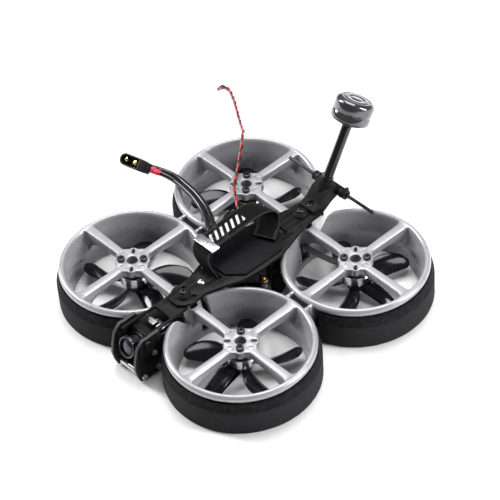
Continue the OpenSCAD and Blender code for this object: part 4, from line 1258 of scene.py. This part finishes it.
hardware = Shape()
for y in (-49.2, 49.2):
    screw(hardware, Matrix.Translation((0, y, TOP + 2.4)), 4.6, 1.5, 9, socket=2.0, button=True)
screw(hardware, Matrix.Translation((0, 57.5, TOP + 1.6)), 4.6, 1.5, 6, socket=2.0, button=True)
hardware.turn([(1.0, 29.3), (hexagon(4), 29.3), (hexagon(4.2), 29.6), (hexagon(4.2), 30.6),
               (hexagon(4), 30.9), (1.0, 30.9)], 48, Matrix.Translation((0, 57.5, 0)))
for y in (-49.2, -34.7, 49.2):
    hardware.turn([(0.5, 0.3), (0.8, 0.06), (1.0, 0.2), (1.0, 7)], 24,
                  Matrix.Translation((0, y, 0)))
hardware.mat = 1
screw(hardware, Matrix.Translation((0, -34.7, TOP)), 4.6, 1.6, 6.5, socket=2.0, button=True)
piece("plate_screw_set", hardware, ["black_steel", "steel"], replaces="plate_screws",
      slot="black_steel")

# ---- camera ----

PIVOT = Vector((0, -84.6, 18.6))
TILT = math.radians(90 - 19.5)
CAM = Matrix.Translation(PIVOT) @ Matrix.Rotation(TILT, 4, "X")
cam = Shape(CAM)
cam.plate([[(9.1, -7.4), (9.1, 7.4), (7.9, 8.6), (-7.9, 8.6), (-9.1, 7.4), (-9.1, -7.4),
            (-7.9, -8.6),
            (7.9, -8.6)]], -4.4, 2.6, 0.5, steps=3)
cam.ring([(6.2, 2.3), (7.6, 2.3), (7.6, 3.9), (7.3, 4.35), (6.2, 4.4)], 64)
for x in (-7, 7):
    for y in (-6.8, 6.8):
        screw(cam, Matrix.Translation((x, y, 2.5)), 2.2, 0.5, 1, 0.5, 0.9, False, True)
for k in range(4):  # cooling ribs on the upper and lower faces
    for y in (-8.58, 8.38):
        cam.block((-7, y, -3.4 + 1.5 * k), (7, y + 0.2, -2.6 + 1.5 * k), 0.08)
cam.mat = 1
cam.block((-7.5, -7.5, -5.6), (7.5, 7.5, -4.35), 0.15)
cam.mat = 2
cam.block((-5.6, 3.2, -5.58), (-1.2, 7.3, -5.1), 0.1)
piece("camera_housing", cam, ["case", "board_black", "white_nylon"], "camera", "camera_body",
      "camera_black")

barrel = Shape(CAM)
barrel.turn([(4.8, 4.3), (5.7, 4.35), (5.95, 4.6), (5.95, 5.1), (5.75, 5.25), (5.75, 5.5),
             (5.95, 5.65),
             (5.95, 6.3), (5.75, 6.45), (5.75, 6.7), (5.95, 6.85), (5.95, 8.9), (6.5, 9.05),
             (6.82, 9.35),
             (6.85, 12.0), (6.7, 12.4), (6.4, 12.5), (6.0, 12.3), (5.85, 11.9), (5.8, 9.7),
             (5.2, 9.65)],
            72)
for k in range(36):
    a = math.radians(10 * k)
    barrel.block((6.72, -0.2, 9.9), (6.93, 0.2, 11.5), 0.06, Matrix.Rotation(a, 4, "Z"))
piece("camera_lens_tube", barrel, "lens_metal", "camera", "camera_lens_barrel", "lens_metal")

glass = Shape(CAM)
dome = [(5.78 * math.sin(a), 9.62 + 2.45 * (1 - (math.sin(a)) ** 2) ** 0.5)
        for a in [math.radians(90 - 9 * k) for k in range(10)]]
glass.turn([(5.2, 9.6)] + dome + [(0.02, 12.08)], 64)
glass.mat = 1
glass.ring([(3.6, 11.25), (5.72, 9.9), (5.74, 10.4), (4.6, 11.3), (3.7, 11.72)], 64)
piece("camera_lens_front", glass, ["glass", "case"], "camera", "camera_lens_glass", "lens_glass")

pivots = Shape()
for s in (-1, 1):
    screw(pivots, facing((s * 11.6, -84.6, 18.6), (s, 0, 0)), 3.8, 1.4, 6, socket=1.5)
piece("camera_pivot_screw_set", pivots, "steel", "camera", "camera_pivot_screws", "silver_steel")

plate_screws = Shape()
for s in (-1, 1):
    for y, z in ((-94.2, 4.6), (-82.6, 5.2)):
        screw(plate_screws, facing((s * 11.5, y, z), (s, 0, 0)), 3.8, 1.4, 6, socket=1.5)
piece("camera_plate_screw_set", plate_screws, "steel", replaces="camera_plate_screws",
      slot="silver_steel")

# wire connectors behind the camera: shells, contact slots, latch
plugs = Shape()
for x, y, z, w, d, h in ((-3.4, -71.9, 21.6, 5.2, 4.6, 3.2), (3, -71.4, 21.4, 5.6, 4.2, 3.0),
                         (-2.4, -67.6, 19.9, 7.4, 3.4, 2.0)):
    plugs.mat = 0
    plugs.block((x - w / 2, y - d / 2, z), (x + w / 2, y + d / 2, z + h), 0.3)
    plugs.block((x - w / 2 + 0.5, y - d / 2 - 0.25, z + 0.5),
                (x + w / 2 - 0.5, y + d / 2 + 0.2, z + h - 0.5), 0.15)
    plugs.mat = 1
    for k in range(4):
        px = x - w / 2 + w * (k + 0.7) / 4.4
        plugs.block((px - 0.28, y - d / 2 + 0.3, z + h - 0.1),
                    (px + 0.28, y + d / 2 - 0.4, z + h + 0.12), 0.05)
plugs.mat = 2
plugs.block((-8.6, -71.4, 20.8), (-6.4, -69.4, 23.6), 0.25)
piece("camera_connectors", plugs, ["case", "tin", "white_nylon"], replaces="camera_cable",
      slot="black_wire")

ribbon = Shape()
RIBBON = [(0, -74.5, 20), (0, -70, 19.4), (0, -62, 18.7), (1.8, -57, 18.6), (4.6, -52.4, 18.7),
          (5, -48.2, 18.8), (5, -44, 19), (4.7, -38, 20), (4, -33, 21), (1.5, -26, 22.2),
          (0, -20.8, 22.6)]
for offset in (-0.88, -0.53, -0.18, 0.18, 0.53, 0.88):
    ribbon.tube([p + Vector((offset, 0, 0)) for p in smooth_path(RIBBON, 4)], 0.2, 8)
piece("camera_ribbon", ribbon, "black_wire",
      replaces="camera_cable", slot="black_wire", angle=80)

# ---- electronics ----


def diamond(half, corner=2.2):
    return [(half, -corner), (half, corner), (corner, half), (-corner, half), (-half, corner),
            (-half, -corner), (-corner, -half), (corner, -half)]


def board(node, name, z, thick, material, chips):
    shape = Shape()
    holes = [moved(circle(20, 1.9), STACK_R * math.cos(a), STACK_R * math.sin(a))
             for a in (0, math.pi / 2, math.pi, 1.5 * math.pi)]
    shape.plate([diamond(22.6, 0.7)] + holes, z - thick / 2, z + thick / 2, 0.1, steps=1)
    square = Matrix.Rotation(math.pi / 4, 4, "Z")
    shape.mat = 1
    for x, y, w, d, h in chips:
        shape.block((x - w / 2, y - d / 2, z + thick / 2 - 0.05),
                    (x + w / 2, y + d / 2, z + thick / 2 + h),
                    0.12, square)
    shape.mat = 2
    for _ in range(46):
        x, y = random.uniform(-14.5, 14.5), random.uniform(-14.5, 14.5)
        if abs(x) > 11.5 and abs(y) > 8:
            continue
        w, d = random.choice(((0.5, 1.0), (1.0, 0.5), (0.8, 1.6)))
        shape.block((x - w / 2, y - d / 2, z + thick / 2 - 0.02),
                    (x + w / 2, y + d / 2, z + thick / 2 + 0.45), 0.06, square)
    shape.mat = 3
    for k in range(6):
        for s in (-1, 1):
            shape.block((-6.5 + 2.5 * k, s * 15.3 - 0.75, z + thick / 2 - 0.02),
                        (-5.1 + 2.5 * k, s * 15.3 + 0.75, z + thick / 2 + 0.25), 0.06, square)
    return piece(name, shape, [material, "chip", "tin", "gold"], replaces=node, slot="circuit")


board("speed_controller", "speed_controller_board", 8.8, 1.6, "board_green",
      [(x, y, 4.6, 4.6, 1.1) for x in (-9.4, -3.8, 3.8, 9.4) for y in (-10.2, 10.2)])
board("flight_controller", "flight_controller_board", 15.8, 1.6, "board_black",
      [(0, 0, 7.6, 7.6, 1.0), (-8, 6, 4, 3, 0.9), (6, -8, 3, 4, 0.9), (13.6, 0, 5, 9, 2.9)])

vtx = Shape()
square = Matrix.Rotation(math.pi / 4, 4, "Z")
vtx.block((-13.2, -13.2, 20.7), (13.2, 13.2, 22.2), 0.3, square)
vtx.block((-13.4, -9.5, 22), (13.4, 9.5, 24.2), 0.35, square)
vtx.block((-9.5, -13.4, 22), (9.5, 13.4, 24.2), 0.35, square)
for k in range(-4, 5):
    vtx.block((2.6 * k - 0.6, -9.8, 24), (2.6 * k + 0.6, 9.8, 26.3), 0.25, square)
for k in range(4):
    a = math.pi / 2 * k
    ear = Matrix.Rotation(a, 4, "Z")
    vtx.plate([moved(circle(28, 2.7), STACK_R), moved(circle(20, 1.12), STACK_R)], 21.4, 23, 0.15,
              ear)
    vtx.block((14.4, -1.4, 21.4), (16.4, 1.4, 23), 0.2, ear)
vtx.mat = 1
vtx.block((-13.4, -3, 19.9), (-9.8, 3, 20.75), 0.1, square)
piece("video_transmitter_case", vtx, ["heatsink", "white_nylon"], replaces="video_transmitter",
      slot="heatsink")

bolts, rings = Shape(), Shape()
for k in range(4):
    at = Matrix.Translation((STACK_R * math.cos(k * math.pi / 2),
                             STACK_R * math.sin(k * math.pi / 2), 0))
    bolts.turn([(0.6, 0.06), (1.0, 0.3), (1.0, 2.0), (hexagon(3.6), 2.05), (hexagon(3.7), 2.4),
                (hexagon(3.7), 5.7), (hexagon(3.5), 5.95), (1.0, 5.98), (1.0, 23.0),
                (hexagon(3.9), 23.05), (hexagon(4.1), 23.3), (hexagon(4.1), 24.3),
                (hexagon(3.9), 24.55),
                (1.0, 24.58), (1.0, 24.8), (0.7, 25.02)], 48, at)
    for z in (6, 13):
        rings.turn([(1.05, z), (2.1, z), (2.3, z + 0.3), (2.3, z + 1.7), (1.8, z + 2.1),
                    (1.7, z + 2.8),
                    (1.8, z + 3.5), (2.3, z + 3.9), (2.3, z + 5.2), (2.1, z + 5.4),
                    (1.05, z + 5.4)], 32, at)
    rings.turn([(1.05, 18.8), (2.0, 18.8), (2.2, 19.1), (2.05, 20.1), (2.2, 21.1), (2.0, 21.35),
                (1.05, 21.35)], 32, at)
piece("stack_bolt_set", bolts, "brass", replaces="stack_bolts", slot="brass")
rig.padded(piece("stack_grommet_set", rings, "grommet", replaces="stack_grommets", slot="grommet"),
          1.0)

can = Shape(Matrix.Translation((6.5, -33.3, 8)) @ Matrix.Rotation(math.radians(-90), 4, "X"))
can.turn([(3.4, 0.25), (3.5, 0.05), (3.85, 0.02), (4.0, 0.3), (4.0, 1.6), (3.82, 1.9), (3.82, 2.2),
          (4.0, 2.5), (4.0, 9.1), (3.8, 9.38), (3.0, 9.38), (2.9, 9.2)], 48)
can.mat = 1
for x in (-1.8, 1.8):
    can.tube([(x, 0, 9.1), (x, 0, 10.0), (x, 0, 10.85)], 0.38, 10)
piece("smoothing_capacitor", can, ["blue_sleeve", "tin"], replaces="capacitor", slot="sleeve_blue")

# fine wires between the boards, at the edge that shows between the plates
loom = Shape()
LOOM = [(0, 12.5, 8.5), (1, 11, 10), (0, 14, 7), (2, 9.6, 11.6),
        (3, 8.2, 13), (1, 15.5, 5.6)]  # material number, x, y
for sx, sy in ((1, 1), (1, -1), (-1, -1)):
    for number, x, y in LOOM:
        loom.mat = number
        x0, y0 = sx * x * 1.03, sy * y * 1.03
        loom.tube(smooth_path([(x0 * 0.92, y0 * 0.92, 10.1), (x0, y0, 11.6),
                               (x0 * 1.04, y0 * 1.04, 13.6), (x0 * 0.97, y0 * 0.97, 16.9)], 4),
                               0.42, 8)
piece("board_loom", loom, ["red_wire", "black_wire", "white_wire", "green_wire"], slot="red_wire",
      angle=80)

# ---- strap ----

W, T = 7.4, 0.6
STRAP = [
    ((-3, 6, 29.9), (W, 0, 0), (0, 0, T)), ((-3, -8, 29.85), (W, 0, 0), (0, 0, T)),
    ((-3, -20, 29.8), (W, 0, 0), (0, 0.2, T)),
    ((-3, -24, 30.6), (W, 0, 0), (0, T, T * 0.7)), ((-3.2, -24.6, 33), (W, 0, 0), (0, T, 0.1)),
    ((-6, -26, 38), (W, 0, 0), (0, T, 0.1)), ((-10, -25, 42), (W, 0, 0), (0, T, -0.4)),
    ((-12.8, -21, 44.4), (W, 0, 0), (0, 0.3, -T)), ((-13.2, -15, 45.3), (W, 0, 0), (0, 0.05, -T)),
    ((-13.4, 0, 46.2), (W, 0, 0), (0, 0, -T)), ((-13.2, 14, 47.2), (W, 0, 0), (0, 0, -T)),
    ((-12.4, 23, 47.4), (W * 0.99, W * 0.1, 0), (0, -0.1, -T)),
    ((-11, 29, 45.6), (W * 0.97, W * 0.2, 0), (0, -0.4, -0.45)),
    ((-9.4, 31.2, 42), (W * 0.96, W * 0.27, 0), (0, -T, 0)),
    ((-7, 29.4, 38.4), (W * 0.95, W * 0.31, 0), (0, -0.4, 0.45)),
    ((-3.2, 24, 36.6), (W * 0.93, W * 0.36, 0), (0, -0.2, T)),
    ((1.2, 17, 35.9), (W * 0.9, W * 0.43, 0), (0, 0, T))]
SECTION = [(-1, 0), (-0.985, -0.6), (-0.95, -0.92), (-0.6, -1), (0, -1), (0.6, -1), (0.95, -0.92),
           (0.985, -0.6), (1, 0), (0.985, 0.6), (0.95, 0.92), (0.6, 1), (0, 1), (-0.6, 1),
           (-0.95, 0.92),
           (-0.985, 0.6)]
centres, halves, depths = [smooth_path([s[k] for s in STRAP], 8) for k in range(3)]
strap = Shape()
rings, marks, along = [], [], 0.0
for i, (c, h, ways) in enumerate(zip(centres, halves, headings(centres))):
    along += (c - centres[i - 1]).length if i else 0
    normal = ways.cross(h).normalized() * T
    if normal.dot(depths[i]) < 0:
        normal = -normal
    sag = 0.12 * math.sin(along * 0.21)
    rings.append([c + h * x + normal * (z * 0.92 + sag * (x * x - 0.4)) for x, z in SECTION])
    marks += [(x * W, along, 1.0 if z * (1 if depths[i].z >= -0.3 else -1) > 0.4 else 0.0)
              for x, z in SECTION]
strap.loft(rings, marks=marks)
strap_length = along * MM
web = piece("strap_web", strap, "web_marked", replaces="battery_strap", slot="strap_web", angle=60)
stitches = Shape()


def stitch_row(start, stop, x0, x1, lift):
    """A row of raised stitches on the strap, from one station and offset to another."""
    steps = max(2, int(abs(stop - start) + abs(x1 - x0)))
    for k in range(steps):
        ends = []
        for f in (k / steps + 0.12 / steps, k / steps + 0.8 / steps):
            i = min(len(centres) - 1, max(0, start + (stop - start) * f))
            j = int(i)
            x = x0 + (x1 - x0) * f
            c = centres[j].lerp(centres[min(j + 1, len(centres) - 1)], i - j)
            n = headings(centres)[j].cross(halves[j]).normalized()
            n = n if n.dot(depths[j]) > 0 else -n
            ends.append(c + halves[j].normalized() * x + n * (T * lift))
        a, b = ends
        stitches.tube([a, a.lerp(b, 0.5), b], 0.17, 6)


for x in (-5.9, 5.9):
    stitch_row(60, 70, x, x, -0.98)
    stitch_row(120, 128, x, x, 0.98)
for start, stop, edge, lift in ((60, 60.1, -5.9, -0.98), (70, 70.1, -5.9, -0.98),
                                (60, 70, -5.9, -0.98), (60, 70, 5.9, -0.98),
                                (127.6, 127.7, -5.9, 0.98)):
    stitch_row(start, stop, edge, -edge, lift)
seams = piece("strap_stitching", stitches, "thread", slot="strap_web", angle=80)
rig.sheet(web, flat=(2 * W * MM, strap_length), held="folded", rests_on=["top_plate_shell"],
         with_pieces=[seams])

buckle = Shape(Matrix.Translation((-13.1, -17.6, 45)))
OUT = stadium(8.9, 1.6, 6)
buckle_place = Matrix.Rotation(math.radians(90), 4, "X")
buckle.plate([OUT, stadium(7.7, 0.95, 6)], -3.4, 3.4, 0.3, buckle_place, 3)
piece("buckle_frame", buckle, "buckle", replaces="strap_buckle", slot="buckle_metal")

# ---- tail ----

softened("antenna_mount", 0.45, "tpu", slot="tpu", steps=3)
LEAN = Matrix.Translation((0, 72, 45)) @ Matrix.Rotation(math.radians(-30), 4, "X")
stalk = Shape(LEAN)
stalk.turn([(2.9, -3.95), (3.25, -3.6), (3.25, 12), (3.22, 26), (3.25, 39.2), (3.9, 39.6),
            (4.35, 40.2),
            (4.5, 41.2), (4.5, 42.55), (3.5, 42.6)], 56)
stalk.ring([(3.2, 2.4), (3.9, 2.4), (4.05, 2.9), (4.05, 3.8), (3.9, 4.3), (3.2, 4.3)], 48)
piece("video_antenna_tube", stalk, "antenna", replaces="video_antenna_stalk", slot="antenna_gloss")
cap = Shape(LEAN @ Matrix.Translation((0, 0, 42.6)))
R, H = 12.65, 15.5
cap_profile = [(0.01, 0.05), (8, 0.05), (9.6, 0.08)]
cap_profile += [(R - 3 + 3 * math.cos(math.radians(a)), 3.05 + 3 * math.sin(math.radians(a)))
                for a in range(-80, 1, 10)]
cap_profile += [(R, 6.6), (R - 0.14, 6.8), (R - 0.14, 7.1), (R, 7.3)]
cap_profile += [(R - 3.4 + 3.4 * math.cos(math.radians(a)),
                 H - 3.4 + 3.4 * math.sin(math.radians(a)))
                for a in range(0, 86, 9)]
cap_profile += [(8.9, H), (8.6, H - 0.12), (8.2, H - 0.12), (7.9, H), (4.4, H), (4.2, H - 0.1),
                (3.9, H - 0.1), (3.7, H), (0.01, H)]
cap.turn(cap_profile, 96)
piece("video_antenna_housing", cap, "cap", replaces="video_antenna_cap", slot="antenna_cap")

rod = Shape()
BAR = Vector((0, 76, 40.1))
rod.tube([BAR + Vector((x, 0, 0)) for x in (-37.2, -36, -24, -12, 0, 12, 24, 36, 37.2)], 1.12, 20)
for x in (-37.3, 34.9):
    rod.tube([BAR + Vector((x + d, 0, 0)) for d in (0.1, 0.8, 1.6, 2.3)], 1.24, 20)
piece("receiver_antenna_rod", rod, "antenna", replaces="receiver_antenna", slot="antenna_gloss")

ties = Shape()
for x in (-10.4, 10.4):
    across = Matrix.Translation(BAR + Vector((x, 0, 0))) @ Matrix.Rotation(math.radians(90), 4,
                                                                           "Y")
    ties.matrix = across
    ties.ring([(2.78, -0.8), (3.3, -0.8), (3.38, -0.65), (3.38, 0.65), (3.3, 0.8), (2.78, 0.8)],
              48)
    for k in range(24):
        ties.block((3.34, -0.16, -0.5), (3.42, 0.16, 0.5), 0.04,
                   Matrix.Rotation(math.radians(15 * k), 4, "Z"))
    ties.matrix = Matrix.Translation(BAR + Vector((x, 0, 0)))
    ties.block((-0.85, 3.1, -1.2), (0.85, 4.88, 1.2), 0.25)
    ties.block((-0.5, 4.82, -8.9), (0.5, 5.38, -0.2), 0.12)
piece("zip_tie_set", ties, "case", replaces="zip_ties", slot="antenna_gloss")

# ---- floor, light ----

floor_mesh = bpy.data.meshes.new("floor")
floor_mesh.from_pydata([(-4, -4, 0), (4, -4, 0), (4, 4, 0), (-4, 4, 0)], [], [(0, 1, 2, 3)])
floor = bpy.data.objects.new("floor", floor_mesh)
bpy.context.collection.objects.link(floor)
floor.location.z = cad_bounds[0][2] - 0.0002
ground = Nodes("floor_white", (0.93, 0.93, 0.93), 0.6, 0.0)
ground.color(ground.mix(ground.noise(0.004, 2), (0.92, 0.92, 0.92), (0.94, 0.94, 0.94)))
floor_mesh.materials.append(ground.mat)
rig.stage(floor)

world = bpy.data.worlds.new("studio")
world.use_nodes = True
world.node_tree.nodes["Background"].inputs[0].default_value = (1, 1, 1, 1)
world.node_tree.nodes["Background"].inputs[1].default_value = 0.14
bpy.context.scene.world = world
bpy.context.scene.view_settings.view_transform = "Standard"
bpy.context.scene.view_settings.look = "None"


def area_light(name, at, aim, size, power):
    data = bpy.data.lights.new(name, "AREA")
    data.shape, data.size, data.size_y, data.energy = "RECTANGLE", size[0], size[1], power
    lamp = bpy.data.objects.new(name, data)
    lamp.matrix_world = facing(at, Vector(at) - Vector(aim))
    bpy.context.collection.objects.link(lamp)


area_light("softbox_top", (-0.25, 0.35, 1.3), (0, 0, 0), (0.9, 0.9), 17)
area_light("softbox_left", (-1.2, -0.5, 0.9), (0, 0, 0.02), (0.4, 1.0), 26)
area_light("softbox_right", (1.0, 0.7, 0.7), (0, 0, 0.02), (0.4, 0.9), 20)

visual_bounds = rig.bounds()
with open("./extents.json", "w") as out:
    json.dump({"cad": [list(v) for v in cad_bounds], "visual": [list(v) for v in visual_bounds]},
              out)
